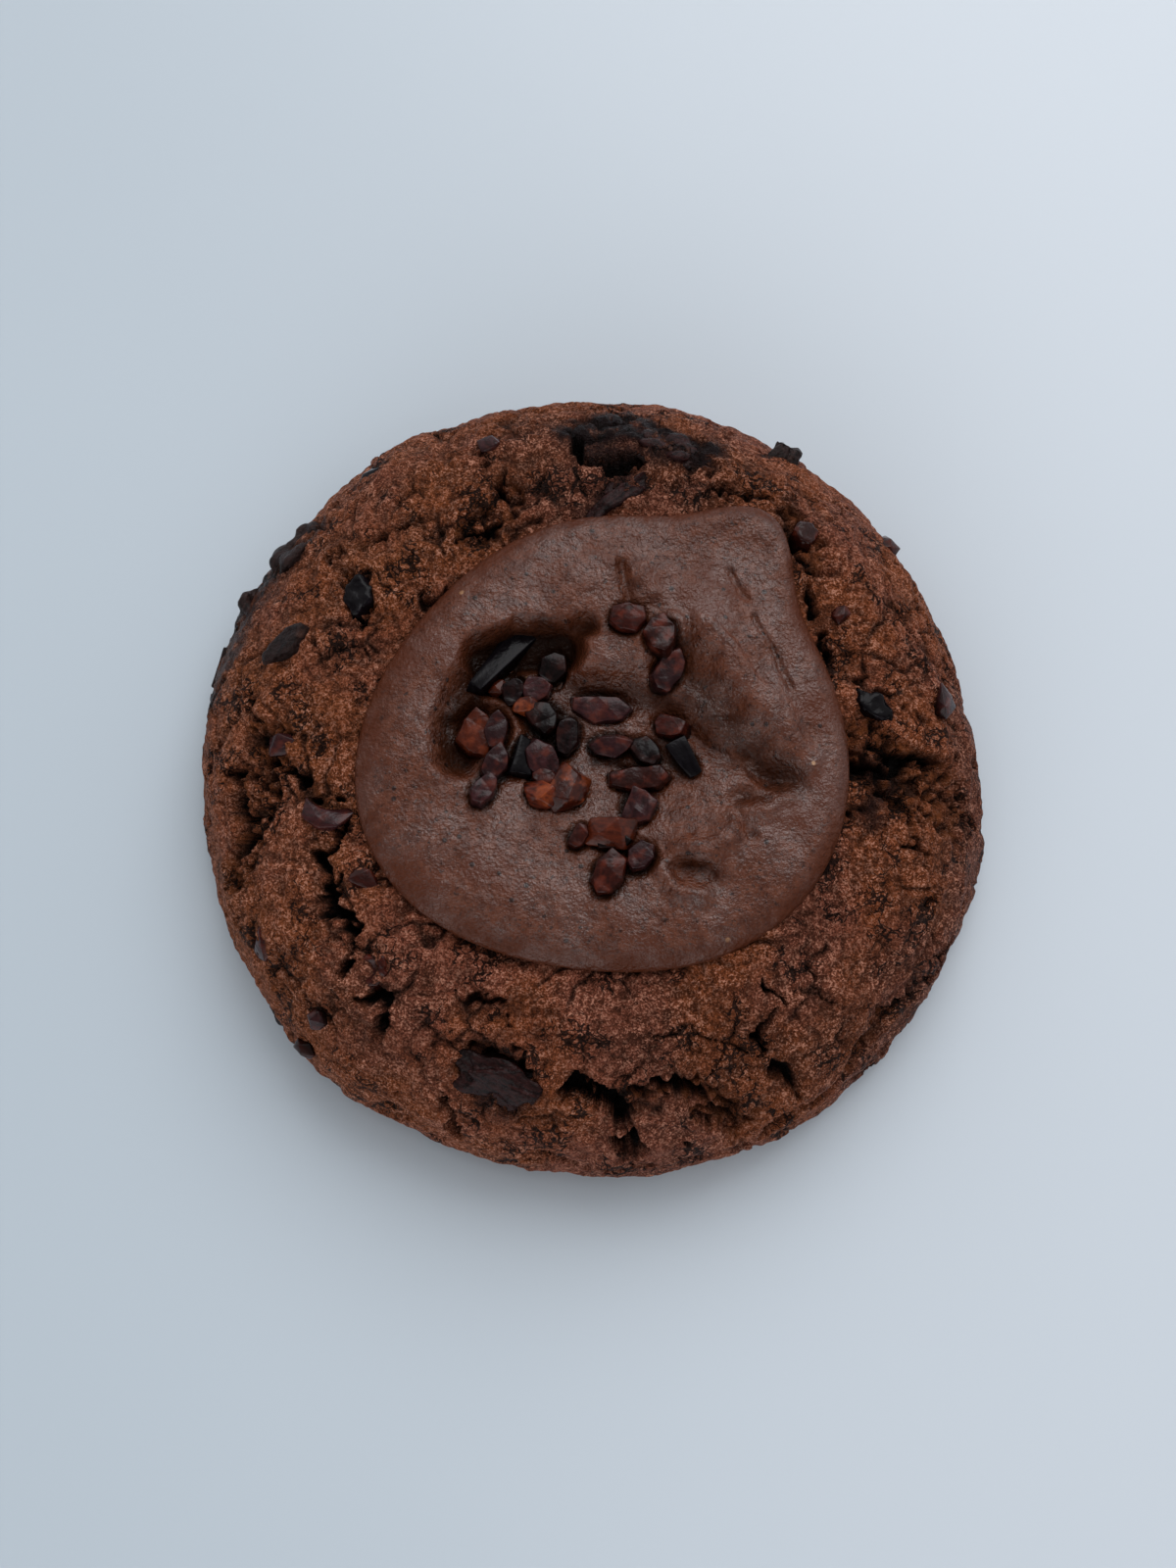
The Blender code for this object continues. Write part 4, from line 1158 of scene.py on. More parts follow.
    def clump_height(self, points: np.ndarray) -> np.ndarray:
        """The lumps of the crust: rounded tops with creases between, about 0 on average."""
        height = np.zeros(len(points))
        for seed, (size, rise) in enumerate(self.clumps):
            warped = wobbled(points, size, 0.3 * size, 70 + 3 * seed)
            height += rise * (2.2 * np.abs(fine_noise(warped, size, 80 + seed)) - 0.7)
        return height

    def seated(self, moved: np.ndarray, spread: "Spread") -> np.ndarray:
        """Heights of the dough with the part that lies under the spread kept low."""
        angle = np.arctan2(moved[:, 1], moved[:, 0])
        under = np.linalg.norm(moved[:, :2], axis=1) < spread.edge(angle) - self.seat_inset
        return np.where(under, np.minimum(moved[:, 2], self.seat_height), moved[:, 2])

    def build(self, finish: CrustFinish, spread: "Spread") -> bpy.types.Object:
        """Make the dough with its crust in relief.

        Args:
            finish: What the crust is finished with.
            spread: The pool that lies on it.

        Returns:
            The dough's object, which stands for the frame's cookie.
        """
        bm = turned_solid(self.section_points(), self.steps)
        points, normals = arrays_of(bm)
        above = falloff(self.foot_level - points[:, 2], 0.0, self.foot_fade)
        relief = np.zeros(len(points))
        for seed, (wavelength, height) in enumerate(self.swells):
            relief += height * noise_at(points, wavelength, seed)
        cracks = self.crack_depth(points)
        torn = self.torn_share(points)
        seams = self.hairlines(points) * (1.0 - torn)
        lively = falloff(self.calm_level - points[:, 2], 0.0, self.calm_fade)
        clumps = self.clump_height(points) * (self.calm_share + (1.0 - self.calm_share) * lively)
        near, _ = cells_at(wobbled(points, 1.2, 0.5, seed=51), self.crumb_size, seed=5)
        gaps = falloff(-near, -self.gap_reach, self.gap_edge)
        dent = falloff(path_distance(points, self.dent.path), self.dent.half_width, self.stain_edge)
        relief += clumps
        relief -= cracks + self.scale_depth * seams + self.dent.depth * dent
        relief -= torn * self.crumb_depth * (0.6 + 0.9 * gaps + 0.5 * fine_noise(points, 2.6, seed=53))
        relief += torn * 0.3 * fine_noise(points, 0.8, seed=57)
        moved = points + normals * (relief * above)[:, None]
        moved[:, :2] *= self.outline_factor(np.arctan2(points[:, 1], points[:, 0]))[:, None]
        moved[:, 2] = np.maximum(moved[:, 2], 0.0)
        moved[:, 2] = self.seated(moved, spread)
        place_all(bm, moved)
        dough = mesh_object(bm, "baked_dough")
        # Painted shade: deep is darkest down in the cracks, between the torn crumbs and along the seams.
        deep = np.clip(cracks / self.dark_depth + 0.85 * torn * gaps + 0.8 * seams, 0.0, 1.0)
        store(dough, "deep", deep * above)
        store(dough, "crumb", torn)
        store(dough, "stain", self.stained(points))
        # Painted shade: the grain attribute marks the creases between the clumps, where the crust darkens.
        store(dough, "grain", np.clip(-2.2 * clumps / sum(rise for _, rise in self.clumps), 0.0, 1.0))
        toward_left = points[:, 0] - 0.3 * points[:, 1]
        store(dough, "warm", self.warm_share * falloff(toward_left, self.warm_edge, self.warm_fade))
        dough.data.materials.append(finish.make())
        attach(dough, BODY)
        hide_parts("cookie")
        return dough


@dataclass
class Spread:
    """The pool of nut spread: its edge, its scooped hollow, its ridges and furrows."""

    radius: float = 25.83
    tip: Size = (54.0, 13.0, 5.96)
    waves: tuple[Point, ...] = ((1, 1.63, 22.0), (2, 0.82, 10.0), (3, 1.0, -37.0))
    level: float = 21.8
    thin_side: tuple[float, float] = (115.0, 0.4)
    ring: Size = (17.0, 7.0, 1.3)
    edge_level: float = 20.5
    rounding: float = 3.4
    fullness: float = 0.72
    wide_side: tuple[float, float] = (215.0, 0.35)
    undercut: tuple[Point, ...] = ((0.12, 20.1), (0.4, 19.7), (0.9, 19.0))
    rings: int = 122
    steps: int = 760
    swells: tuple[Point, ...] = ((9.0, 0.3), (3.5, 0.25), (1.9, 0.1))
    pits: tuple[Point, ...] = ((1.4, 0.065), (0.7, 0.04))
    press: float = 0.25
    foot_share: float = 0.52
    contact_reach: float = 0.3
    contact_fade: float = 0.5
    # Depth of a hollow at which its painted shade is full.
    dark_hollow: float = 2.6
    base_drop: float = 0.2
    bowls: tuple[Stroke, ...] = (
        Stroke(((-8.5, 3.5), (-2.0, 2.5), (5.0, 0.5), (12.0, -1.5)), 5.5, 4.0, -1.3),
        Stroke(((9.2, 11.5), (12.0, 6.5), (15.2, 2.0), (19.6, -2.6)), 2.4, 2.6, -1.5),
    )
    hollows: tuple[Stroke, ...] = (
        Stroke(((-11.3, 10.0), (-8.0, 11.4), (-3.6, 11.4)), 2.4, 1.1, -3.0),
        Stroke(((-3.6, 12.0), (-0.5, 13.6)), 1.1, 1.0, -2.0),
        Stroke(((-14.4, -0.5), (-14.6, 3.0), (-12.6, 7.6), (-9.5, 9.0)), 2.1, 1.3, -2.2),
        Stroke(((-5.0, 8.4), (-1.5, 6.8), (3.0, 6.2), (6.5, 6.0), (9.6, 4.2)), 1.6, 1.2, -1.3),
        Stroke(((-3.9, 8.4), (-3.2, 11.4)), 1.2, 0.8, -2.6),
        Stroke(((11.5, 2.0), (15.0, -0.4), (18.2, -2.4), (20.4, -3.4)), 1.1, 1.5, -1.3),
        Stroke(((9.8, -13.0), (12.8, -13.6)), 1.1, 1.6, -0.8),
        Stroke(((15.8, -5.4), (18.6, -5.0)), 0.9, 0.9, -0.8),
        Stroke(((3.0, 20.6), (3.7, 18.2), (3.9, 16.2)), 0.6, 0.7, -0.8),
    )
    ridges: tuple[Stroke, ...] = (
        Stroke(((8.6, 13.0), (5.0, 11.2), (1.8, 10.9), (0.2, 11.0)), 2.0, 0.9, 1.2),
        Stroke(((5.7, 19.5), (6.6, 17.6)), 1.1, 0.9, 0.5),
        Stroke(((-15.0, 4.6), (-12.4, 6.4), (-9.4, 5.0), (-8.2, 2.2), (-8.6, -0.6)), 0.6, 0.6, 0.9),
        Stroke(((20.6, -4.6), (17.8, -6.2), (15.6, -7.6), (14.3, -9.4)), 1.2, 1.0, 0.9),
        Stroke(((14.3, -9.4), (12.3, -10.6), (9.3, -10.8)), 1.2, 1.0, 1.0),
        Stroke(((9.3, -10.8), (7.8, -12.8), (8.8, -15.0), (12.0, -15.6)), 1.0, 0.9, 0.8),
        Stroke(((12.6, 13.6), (16.4, 8.2), (20.2, 3.2), (22.6, -1.4)), 1.7, 1.3, 0.9),
    )
    furrows: tuple[Stroke, ...] = (
        Stroke(((15.0, 20.3), (15.8, 17.8), (16.7, 16.7)), 0.3, 0.35, -0.5),
        Stroke(((17.6, 14.9), (19.3, 11.0), (20.4, 8.1), (21.3, 6.7)), 0.3, 0.35, -0.5),
        Stroke(((13.8, 14.2), (16.6, 10.4), (18.8, 7.4)), 0.3, 0.35, -0.35),
        Stroke(((15.6, -7.0), (16.6, -8.0), (17.0, -9.4)), 0.5, 0.5, -0.5),
        Stroke(((10.4, -12.6), (12.2, -12.4), (13.0, -13.4)), 0.4, 0.5, -0.5),
    )
    # Strokes of painted shade, partly oil: the deep hollow, the gaps between nibs, and the valley and hollows
    # to the right.
    oily_and_shaded: tuple[Stroke, ...] = (
        Stroke(((-9.6, 8.6), (-6.4, 5.8), (-3.6, 3.0), (-4.4, 0.6)), 2.3, 1.2, 1.0),
        Stroke(((-8.8, 0.8), (-8.0, -1.8)), 1.0, 1.0, 0.9),
        Stroke(((0.4, -0.8), (4.0, -1.0)), 0.7, 0.8, 0.8),
        Stroke(((-10.6, 11.6), (-4.0, 12.8)), 1.6, 1.6, 0.8),
        Stroke(((9.6, 10.5), (12.2, 6.0), (15.4, 1.8), (20.2, -3.0)), 2.0, 1.8, 0.62),
        Stroke(((9.6, -12.6), (12.4, -13.2)), 1.0, 1.2, 0.5),
        Stroke(((16.0, -5.6), (18.8, -5.4)), 0.8, 1.0, 0.5),
        Stroke(((7.2, 0.8), (9.4, -1.6)), 1.2, 1.0, 0.7),
    )

    def edge(self, angle: np.ndarray) -> np.ndarray:
        """Radius of the pool's edge at each angle."""
        middle, width, reach = self.tip
        away = np.degrees(np.angle(np.exp(1j * (angle - math.radians(middle)))))
        radius = self.radius + reach * np.exp(-((away / width) ** 2))
        for count, height, turned in self.waves:
            radius += height * np.cos(count * (angle - math.radians(turned)))
        return radius

    def stroked(self, plan: np.ndarray, strokes: tuple[Stroke, ...]) -> np.ndarray:
        """Rise that a set of strokes gives at each plan point, the strongest one winning."""
        total = np.zeros(len(plan))
        for stroke in strokes:
            rise = stroke.rise * falloff(path_distance(plan, stroke.path), stroke.half_width, stroke.softness)
            total = np.where(np.abs(rise) > np.abs(total), rise, total)
        return total

    def top(self, plan: np.ndarray) -> np.ndarray:
        """Height of the upper face over each plan point, before its edge is rounded."""
        angle = np.arctan2(plan[:, 1], plan[:, 0])
        distance = np.linalg.norm(plan, axis=1)
        thin_at, thin_by = self.thin_side
        ring_at, ring_width, ring_height = self.ring
        height = self.level - thin_by * np.cos(angle - math.radians(thin_at)) * distance / self.radius
        height += ring_height * np.exp(-(((distance - ring_at) / ring_width) ** 2))
        flat = np.column_stack((plan, np.zeros(len(plan))))
        ragged = wobbled(wobbled(flat, 3.0, 0.5, seed=71), 1.3, 0.2, seed=75)[:, :2]
        for strokes in (self.bowls, self.hollows, self.ridges, self.furrows):
            height += self.stroked(ragged, strokes)
        for seed, (wavelength, swell) in enumerate(self.swells):
            height += swell * noise_at(flat, wavelength, seed + 20)
        for seed, (wavelength, swell) in enumerate(self.pits):
            height += swell * fine_noise(flat, wavelength, seed + 90)
        return height

    def top_at(self, x: float, y: float) -> float:
        """Height of the upper face over one plan point."""
        return float(self.top(np.array([(x, y)]))[0])

    def contact(self, plan: np.ndarray, pieces: tuple[Small, ...]) -> np.ndarray:
        """How near each plan point is to the foot of a nib, from 0 to 1.

        Args:
            plan: Plan places of the spread's vertices.
            pieces: The nibs that lie on it.

        Returns:
            One value for each point.
        """
        nearest = np.full(len(plan), np.inf)
        for piece in pieces:
            turn = math.radians(piece.turn)
            offset = plan - np.array(piece.at[:2])
            along = offset @ np.array((math.cos(turn), math.sin(turn)))
            across = offset @ np.array((-math.sin(turn), math.cos(turn)))
            reach = np.hypot(along / piece.size[0], across / piece.size[1])
            share = np.maximum(reach / self.foot_share, 1e-3)
            nearest = np.minimum(nearest, np.hypot(along, across) * (1.0 - 1.0 / share))
        return falloff(nearest, self.contact_reach, self.contact_fade)

    def build(self, finish: SpreadFinish, nibs: tuple[Small, ...]) -> bpy.types.Object:
        """Make the pool of spread.

        Args:
            finish: What the spread is finished with.
            nibs: The nibs that lie on it and press into it.

        Returns:
            The pool's object, which stands for the frame's spread.
        """
        shares = np.linspace(0.0, 1.0, self.rings)
        section = [(0.0, 0.0), (0.9, 0.0)]
        section += [(1.0, level) for cut, level in self.undercut[::-1]]
        section += [(share, UPPER_FACE) for share in shares[::-1]]
        bm = turned_solid(section, self.steps)
        points, _ = arrays_of(bm)
        angle = np.arctan2(points[:, 1], points[:, 0])
        edge = self.edge(angle)
        above = points[:, 2] > 0.5 * UPPER_FACE
        side = (points[:, 2] > 1.0) & ~above
        levels = np.array([level for cut, level in self.undercut])
        cuts = np.array([cut for cut, level in self.undercut])
        cut = np.where(side, np.interp(-points[:, 2], -levels, cuts), 0.0)
        plan = points[:, :2] * (edge - cut)[:, None]
        inward = edge - np.linalg.norm(plan, axis=1)
        wide_at, wide_by = self.wide_side
        reach = self.rounding * (1.0 + wide_by * np.cos(angle - math.radians(wide_at)))
        round_share = 1.0 - np.clip(inward / reach, 0.0, 1.0)
        rounding = (1.0 - round_share**2) ** self.fullness
        contact = self.contact(plan, nibs)
        upper = self.edge_level + (self.top(plan) - self.press * contact - self.edge_level) * rounding
        height = np.where(above, upper, np.where(side, points[:, 2], levels[-1] - self.base_drop))
        place_all(bm, np.column_stack((plan, height)))
        bmesh.ops.recalc_face_normals(bm, faces=bm.faces)
        pool = mesh_object(bm, "nut_spread")
        # Painted shade round the nibs' feet, where the surface is also pressed down.
        store(pool, "contact", np.where(above, contact, 0.0))
        ragged = wobbled(np.column_stack((plan, np.zeros(len(plan)))), 2.4, 0.9, seed=97)[:, :2]
        # Painted shade in the hollows, darkest where they are deepest, joined with the shade strokes.
        hollow = np.clip(-self.stroked(plan, self.hollows) / self.dark_hollow, 0.0, 1.0)
        store(pool, "pit_shade", np.maximum(hollow, self.stroked(ragged, self.oily_and_shaded)))
        # The brim marks the rounded rim, for painted shade there and a duller, rougher finish.
        store(pool, "brim", 1.0 - rounding)
        pool.data.materials.append(finish.make())
        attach(pool, BODY)
        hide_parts("chocolate_spread")
        return pool


class Shaped(NamedTuple):
    """A small piece's shape, with its vertices' own places, edges and sunken parts for painted shade."""

    bm: bmesh.types.BMesh
    own: np.ndarray
    rim: np.ndarray
    foot: np.ndarray


def shaped(piece: Small, seed: int, stand: Matrix) -> Shaped:
    """One small piece in its place.

    Args:
        piece: What it is.
        seed: Picks its shape.
        stand: How it stands on what carries it.

    Returns:
        The shape, with what its material reads for each vertex.
    """
    bm, rim = SHAPES[piece.form](piece.size, seed)
    if piece.bend:
        for vert in bm.verts:
            vert.co.y += piece.bend * (vert.co.x**2 - 0.25 * piece.size[0] ** 2)
    own, _ = arrays_of(bm)
    # Painted shade: foot fades from 1 low on the piece to 0 above its middle.
    foot = falloff(own[:, 2] / piece.size[2], 0.0, 0.3)
    own = own * np.array((0.5, 1.6, 1.6)) + 7.0 * seed
    lean = Matrix.Rotation(math.radians(piece.tip), 4, "Y")
    lean = lean @ Matrix.Rotation(math.radians(piece.roll), 4, "X")
    turn = Matrix.Rotation(math.radians(piece.turn), 4, "Z")
    bmesh.ops.transform(bm, matrix=Matrix.Translation(piece.at) @ stand @ turn @ lean, verts=bm.verts)
    return Shaped(bm, own, rim, foot)


def joined(parts: list[Shaped], name: str) -> bpy.types.Object:
    """Several small shapes as one mesh that keeps what the material reads.

    Args:
        parts: The shapes.
        name: The object's name.

    Returns:
        The joined object.
    """
    whole = bmesh.new()
    tint = []
    for index, part in enumerate(parts):
        scrap = bpy.data.meshes.new("scrap")
        part.bm.to_mesh(scrap)
        part.bm.free()
        whole.from_mesh(scrap)
        bpy.data.meshes.remove(scrap)
        tint.append(np.full(len(part.own), 0.75 + 0.5 * math.sin(2.7 * index + len(name))))
    made = mesh_object(whole, name)
    attribute = made.data.attributes.new("own", "FLOAT_VECTOR", "POINT")
    own = np.concatenate([part.own for part in parts])
    attribute.data.foreach_set("vector", own.astype(np.float32).ravel())
    store(made, "tint", np.concatenate(tint))
    # The rim marks the edges, for the edge colour with its painted highlight.
    store(made, "rim", np.concatenate([part.rim for part in parts]))
    # The foot marks each piece's lower part, for painted shade.
    store(made, "foot", np.concatenate([part.foot for part in parts]))
    return made


@dataclass
class Nibs:
    """The nibs and slivers strewn in the spread's hollow, one object for each kind."""

    rise: float = 0.42
    growth: float = 1.1
    pieces: tuple[Small, ...] = (
        Small((3.9, 14.4), (3.8, 3.6, 2.2), 0.0, Kind.RED, Form.CHIP),
        Small((7.5, 12.5), (4.3, 3.5, 2.4), 100.0, Kind.RED, Form.CHIP, tip=8.0),
        Small((8.3, 8.8), (4.9, 3.0, 2.2), 58.0, Kind.MAUVE, Form.CHIP, roll=12.0),
        Small((1.1, 5.3), (6.0, 3.3, 2.0), -8.0, Kind.MAUVE, Form.CHIP),
        Small((8.5, 2.9), (3.6, 2.8, 2.2), -30.0, Kind.RED, Form.CHIP, tip=-14.0),
        Small((10.0, -0.6), (3.8, 2.4, 1.6), -60.0, Kind.CHOCOLATE, Form.SLIVER, 10.0),
        Small((2.0, 0.9), (4.7, 2.7, 2.2), 0.0, Kind.MAUVE, Form.CHIP, roll=14.0),
        Small((5.9, 0.2), (3.6, 2.5, 2.0), -35.0, Kind.DARK, Form.CHIP),
        Small((5.1, -2.8), (6.1, 2.8, 2.2), 2.0, Kind.RED, Form.CHIP),
        Small((4.9, -6.0), (4.2, 3.4, 2.2), 70.0, Kind.MAUVE, Form.CHIP),
        Small((-2.6, -4.3), (4.0, 3.3, 2.4), 60.0, Kind.EMBER),
        Small((-5.5, -4.8), (2.9, 2.4, 2.0), -15.0, Kind.EMBER),
        Small((-5.2, -0.6), (4.2, 3.6, 2.4), -50.0, Kind.MAUVE, Form.CHIP, tip=10.0),
        Small((-5.2, -2.7), (3.2, 1.9, 1.8), 0.0, Kind.RED, Form.CHIP),
        Small((-7.7, -0.4), (4.2, 2.1, 1.9), 80.0, Kind.CHOCOLATE, Form.SLIVER, 6.0, 16.0),
        Small((-10.3, -1.6), (4.2, 3.0, 2.3), 62.0, Kind.MAUVE, Form.CHIP),
        Small((-11.6, -4.3), (3.9, 2.6, 2.2), 60.0, Kind.MAUVE, Form.CHIP, tip=10.0),
        Small((-12.3, 2.3), (5.2, 3.6, 2.9), 92.0, Kind.RUST, Form.CHIP),
        Small((-10.3, 2.4), (4.0, 2.6, 2.4), 88.0, Kind.MAUVE, Form.CHIP),
        Small((-10.2, 10.0), (8.0, 3.3, 1.9), 232.0, Kind.CHOCOLATE, Form.SLIVER, -12.0, 12.0),
        Small((-4.3, 9.5), (4.0, 2.9, 1.6), 70.0, Kind.DARK, Form.CHIP),
        Small((-10.1, 7.5), (1.9, 1.5, 1.4), 30.0, Kind.RUST),
        Small((-6.0, 7.0), (3.2, 2.7, 1.9), 20.0, Kind.MAUVE, Form.CHIP),
        Small((-8.4, 6.7), (3.0, 2.5, 2.0), 60.0, Kind.DARK, Form.CHIP),
        Small((-7.0, 5.1), (2.4, 1.6, 1.5), 5.0, Kind.EMBER),
        Small((-5.3, 3.8), (3.9, 3.5, 2.2), -50.0, Kind.DARK, Form.CHIP),
        Small((-2.8, 1.9), (4.7, 2.9, 2.2), 78.0, Kind.DARK, Form.CHIP),
        Small((-1.4, -9.5), (2.8, 2.1, 1.9), 60.0, Kind.RED, Form.CHIP),
        Small((2.1, -9.1), (4.7, 2.8, 2.3), -5.0, Kind.RUST, roll=18.0),
        Small((2.4, -10.0), (3.6, 2.0, 1.6), -5.0, Kind.DARK, Form.CHIP),
        Small((1.7, -13.7), (4.5, 3.4, 2.2), 75.0, Kind.RED, Form.CHIP),
        Small((5.1, -11.8), (3.9, 3.1, 2.1), 45.0, Kind.MAUVE, Form.CHIP),
    )

    def build(self, spread: Spread) -> list[bpy.types.Object]:
        """Make every nib on the spread.

        Args:
            spread: What they lie on.

        Returns:
            One object for each kind.
        """
        made = []
        for kind in {piece.kind: None for piece in self.pieces}:
            parts = []
            for seed, piece in enumerate(self.pieces):
                if piece.kind is not kind:
                    continue
                x, y = piece.at
                height = spread.top_at(x, y) + self.rise
                size = tuple(self.growth * length for length in piece.size)
                placed = replace(piece, at=(x, y, height), size=size)
                parts.append(shaped(placed, seed, Matrix.Identity(4)))
            nibs = joined(parts, f"strewn_nibs_{kind.value}")
            nibs.data.materials.append(FINISHES[kind].make())
            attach(nibs, BODY)
            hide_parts("chocolate_spread")
            made.append(nibs)
        return made


@dataclass
class BakedIn:
    """The chocolate and the nibs that are baked into the dough, each its own object."""

    lean: tuple[Point, ...] = (
        (26.0, 0.0), (32.0, 16.0), (37.0, 40.0), (40.5, 55.0), (43.0, 76.0), (44.2, 92.0),
    )
    sink: float = 0.32
    pieces: tuple[tuple[str, Small], ...] = (
        ("chocolate_leaf_far_left", Small((-24.6, 33.9, 12.6), (4.2, 2.2, 2.0), 60.0, Kind.CHOCOLATE)),
        (
            "chocolate_hook_left",
            Small((-25.5, 17.9, 19.8), (5.6, 3.8, 2.6), 112.0, Kind.CHOCOLATE, Form.PRESSED),
        ),
        (
            "chocolate_block_left",
            Small((-33.8, 12.7, 18.6), (6.8, 3.3, 2.4), -124.0, Kind.CRUSTED, Form.PRESSED),
        ),
        ("nib_half_moon", Small((-28.5, -6.3, 19.9), (4.4, 2.0, 1.8), 158.0, Kind.MAUVE, bend=0.16)),
        ("nib_red_lower_left", Small((-23.8, -23.7, 18.4), (5.2, 3.8, 2.4), 165.0, Kind.RED, Form.PRESSED)),
        ("nib_in_hole", Small((-36.1, -19.6, 12.9), (4.2, 3.6, 2.6), 30.0, Kind.RED)),
        (
            "chocolate_wedge_right",
            Small((30.8, 5.7, 19.3), (6.2, 3.2, 2.2), -44.0, Kind.CHOCOLATE, Form.PRESSED),
        ),
        ("nib_upper_right", Small((23.7, 25.2, 18.5), (4.0, 3.2, 2.4), 20.0, Kind.RED, Form.PRESSED)),
        ("chocolate_melt_near", Small((-9.9, -35.5, 17.3), (10.0, 5.2, 3.0), 82.0, Kind.MELT, Form.MELTED)),
        ("chocolate_melt_far", Small((8.4, 36.0, 17.0), (7.4, 5.2, 2.4), -84.0, Kind.MELT, Form.MELTED)),
        ("chocolate_smear_far", Small((2.8, 29.0, 20.0), (8.4, 2.8, 1.8), -40.0, Kind.MELT, Form.MELTED)),
        (
            "chocolate_lump_flank_high",
            Small((-33.8, 25.9, 9.8), (7.6, 6.4, 4.6), 70.0, Kind.CRUSTED, Form.MELTED),
        ),
        (
            "chocolate_lump_flank_low",
            Small((-38.9, 20.0, 6.0), (6.6, 6.0, 4.6), 80.0, Kind.CRUSTED, Form.MELTED),
        ),
        (
            "chocolate_chunk_edge_far_right",
            Small((22.2, 37.6, 8.8), (4.6, 4.0, 3.6), 20.0, Kind.CRUSTED, Form.PRESSED),
        ),
        (
            "chocolate_sliver_left_edge",
            Small((-41.9, 13.0, 5.0), (5.0, 3.2, 2.6), 84.0, Kind.CRUSTED, Form.SLIVER),
        ),
        (
            "chocolate_at_near_foot",
            Small((-0.5, -42.4, 2.9), (8.0, 3.2, 2.6), 90.0, Kind.CRUSTED, Form.PRESSED),
        ),
        (
            "chocolate_at_left_foot",
            Small((-33.8, -27.4, 3.4), (8.0, 3.6, 2.6), 88.0, Kind.CRUSTED, Form.PRESSED),
        ),
    )
    crumbs: tuple[Small, ...] = (
        Small((-33.7, 1.5, 18.4), (2.6, 2.1, 1.6), 10.0, Kind.MAUVE),
        Small((-29.8, -28.1, 14.0), (2.2, 1.8, 1.6), 40.0, Kind.MAUVE),
        Small((27.3, 16.1, 19.0), (2.2, 1.6, 1.4), 20.0, Kind.RED),
        Small((-11.4, 36.0, 16.8), (2.4, 2.3, 1.6), 0.0, Kind.MAUVE),
        Small((39.0, 7.1, 14.6), (3.6, 2.8, 1.6), 60.0, Kind.MAUVE),
        Small((-31.5, -30.5, 8.0), (2.6, 2.0, 1.8), 100.0, Kind.RED),
        Small((33.5, 26.5, 9.0), (2.8, 2.2, 1.8), 30.0, Kind.RED),
        Small((-24.5, -13.6, 20.0), (3.0, 2.0, 1.6), 120.0, Kind.RED),
    )

    def stand(self, at: Point) -> Matrix:
        """How a piece lies on the dough's surface at a place."""
        radius = math.hypot(at[0], at[1])
        lean = np.interp(radius, [row[0] for row in self.lean], [row[1] for row in self.lean])
        around = Matrix.Rotation(math.atan2(at[1], at[0]), 4, "Z")
        return around @ Matrix.Rotation(math.radians(float(lean)), 4, "Y")

    def sunk(self, piece: Small, share: float) -> Small:
        """The same piece, moved into the dough by a share of its height."""
        inward = self.stand(piece.at) @ Vector((0.0, 0.0, -share * piece.size[2]))
        return replace(piece, at=tuple(Vector(piece.at) + inward))

    def build(self) -> list[bpy.types.Object]:
        """Make every baked-in piece.

        Returns:
            The objects.
        """
        made = []
        materials = {kind: FINISHES[kind].make() for kind in Kind}
        for seed, (node, piece) in enumerate(self.pieces):
            shape = shaped(self.sunk(piece, self.sink), seed, self.stand(piece.at))
            chunk = joined([shape], "baked_" + node.split("_", 1)[1])
            chunk.data.materials.append(materials[piece.kind])
            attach(chunk, BODY)
            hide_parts(node)
            made.append(chunk)
        for kind in (Kind.MAUVE, Kind.RED):
            parts = [
                shaped(self.sunk(piece, 0.1), seed + 40, self.stand(piece.at))
                for seed, piece in enumerate(self.crumbs)
                if piece.kind is kind
            ]
            bits = joined(parts, f"baked_bits_{kind.value}")
            bits.data.materials.append(materials[kind])
            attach(bits, BODY)
            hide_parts("cookie")
            made.append(bits)
        return made


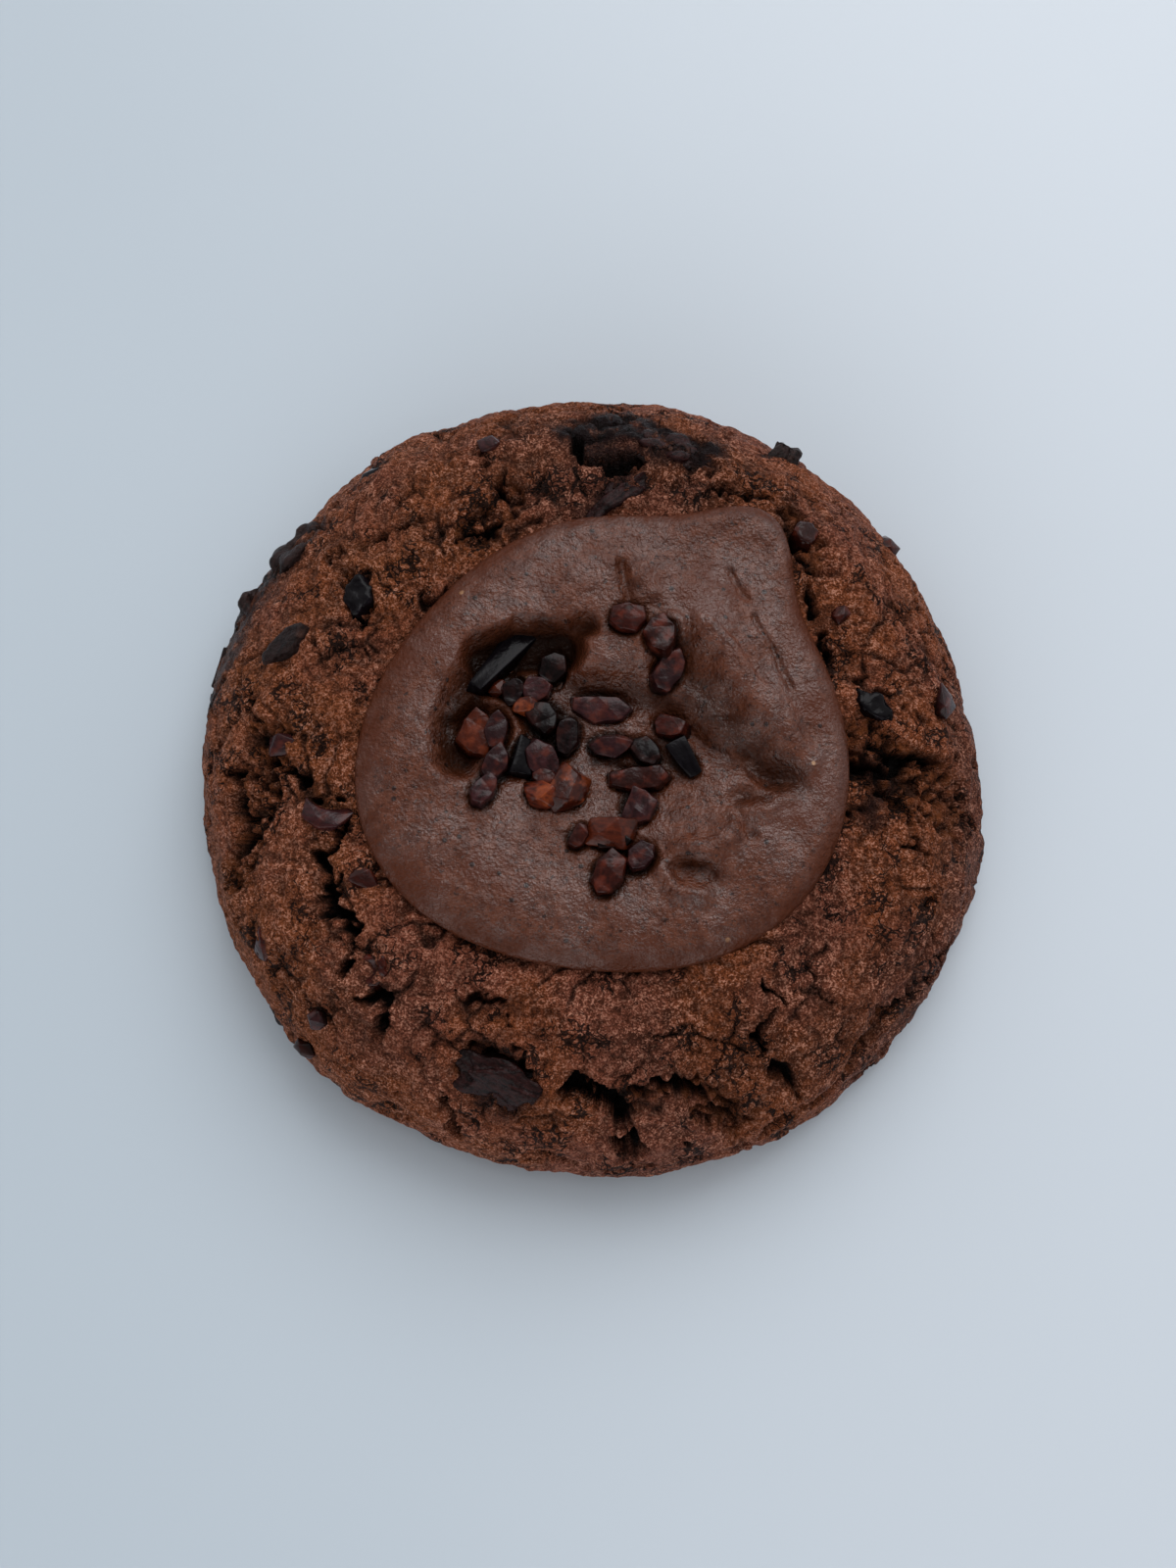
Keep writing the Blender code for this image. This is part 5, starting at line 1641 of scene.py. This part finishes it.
@dataclass
class Studio:
    """The slab, the soft sky and the camera at the photograph's angle."""

    elevation: float = 79.0
    distance: float = 348.8
    aim: Size = (-0.4, -1.2, 10.0)
    lens: float = 72.0
    sensor: float = 36.0
    clip_start: float = 0.01
    floor_half: float = 6000.0
    levels: tuple[Point, ...] = (
        (-1.0, 2.5), (-0.8, 1.25), (-0.55, 0.26), (-0.1, 0.3), (0.3, 0.94), (0.6, 0.97), (0.95, 0.84),
    )
    tint: Colour = (0.98, 0.98, 1.0, 1.0)
    across: float = 0.3
    patch_at: Size = (0.22, 0.66, 0.72)
    patch_edge: tuple[float, float] = (0.88, 0.96)
    patch_level: float = 3.2

    def floor(self, finish: SlabFinish) -> None:
        """Lay the slab under the cookie."""
        bm = bmesh.new()
        bmesh.ops.create_grid(bm, x_segments=1, y_segments=1, size=self.floor_half)
        slab = mesh_object(bm, "slab")
        slab.data.materials.append(finish.make())

    def sky(self) -> None:
        """A soft sky that is brightest to the far side and dim behind the viewer."""
        world = bpy.data.worlds.new("soft sky")
        world.use_nodes = True
        bpy.context.scene.world = world
        graph = Graph(world.node_tree)
        way = graph.add("ShaderNodeTexCoord").outputs["Generated"]
        parts = graph.add("ShaderNodeSeparateXYZ", Vector=way).outputs
        north = graph.sum(parts["Y"], graph.times(parts["X"], self.across))
        level: object = self.levels[0][1]
        for (start, low), (stop, high) in zip(self.levels[:-1], self.levels[1:]):
            share = graph.ramp(north, start, stop)
            level = graph.sum(level, graph.times(share, high - low))
        toward = graph.add("ShaderNodeVectorMath", set_operation="DOT_PRODUCT", in_0=way, in_1=self.patch_at)
        patch = graph.ramp(toward.outputs["Value"], *self.patch_edge)
        level = graph.sum(level, graph.times(patch, self.patch_level))
        background = world.node_tree.nodes["Background"]
        background.inputs["Color"].default_value = self.tint
        world.node_tree.links.new(level, background.inputs["Strength"])

    def camera(self) -> None:
        """Place the camera and make it the scene's own."""
        tilt = math.radians(self.elevation)
        back = Vector((0.0, -math.cos(tilt), math.sin(tilt)))
        data = bpy.data.cameras.new("view")
        data.lens = self.lens
        data.sensor_width = self.sensor
        data.clip_start = self.clip_start
        made = bpy.data.objects.new("view", data)
        bpy.context.scene.collection.objects.link(made)
        made.location = (Vector(self.aim) + back * self.distance) * MM
        made.rotation_euler = (math.radians(90.0 - self.elevation), 0.0, 0.0)
        bpy.context.scene.camera = made

    def build(self) -> None:
        """Make the whole studio."""
        self.floor(SlabFinish("pale slab"))
        self.sky()
        self.camera()
        bpy.context.scene.view_settings.view_transform = "Standard"


def main() -> None:
    """Build the cookie's looks piece by piece."""
    logging.basicConfig(level=logging.INFO, format="%(message)s")
    Studio().build()
    spread = Spread()
    nibs = Nibs()
    made = [Dough().build(CrustFinish("cocoa crust"), spread)]
    made.append(spread.build(SpreadFinish("nut spread"), nibs.pieces))
    made += nibs.build(spread)
    made += BakedIn().build()
    for piece in made:
        LOG.info("%s: %d faces", piece.name, len(piece.data.polygons))


if __name__ == "__main__":
    main()
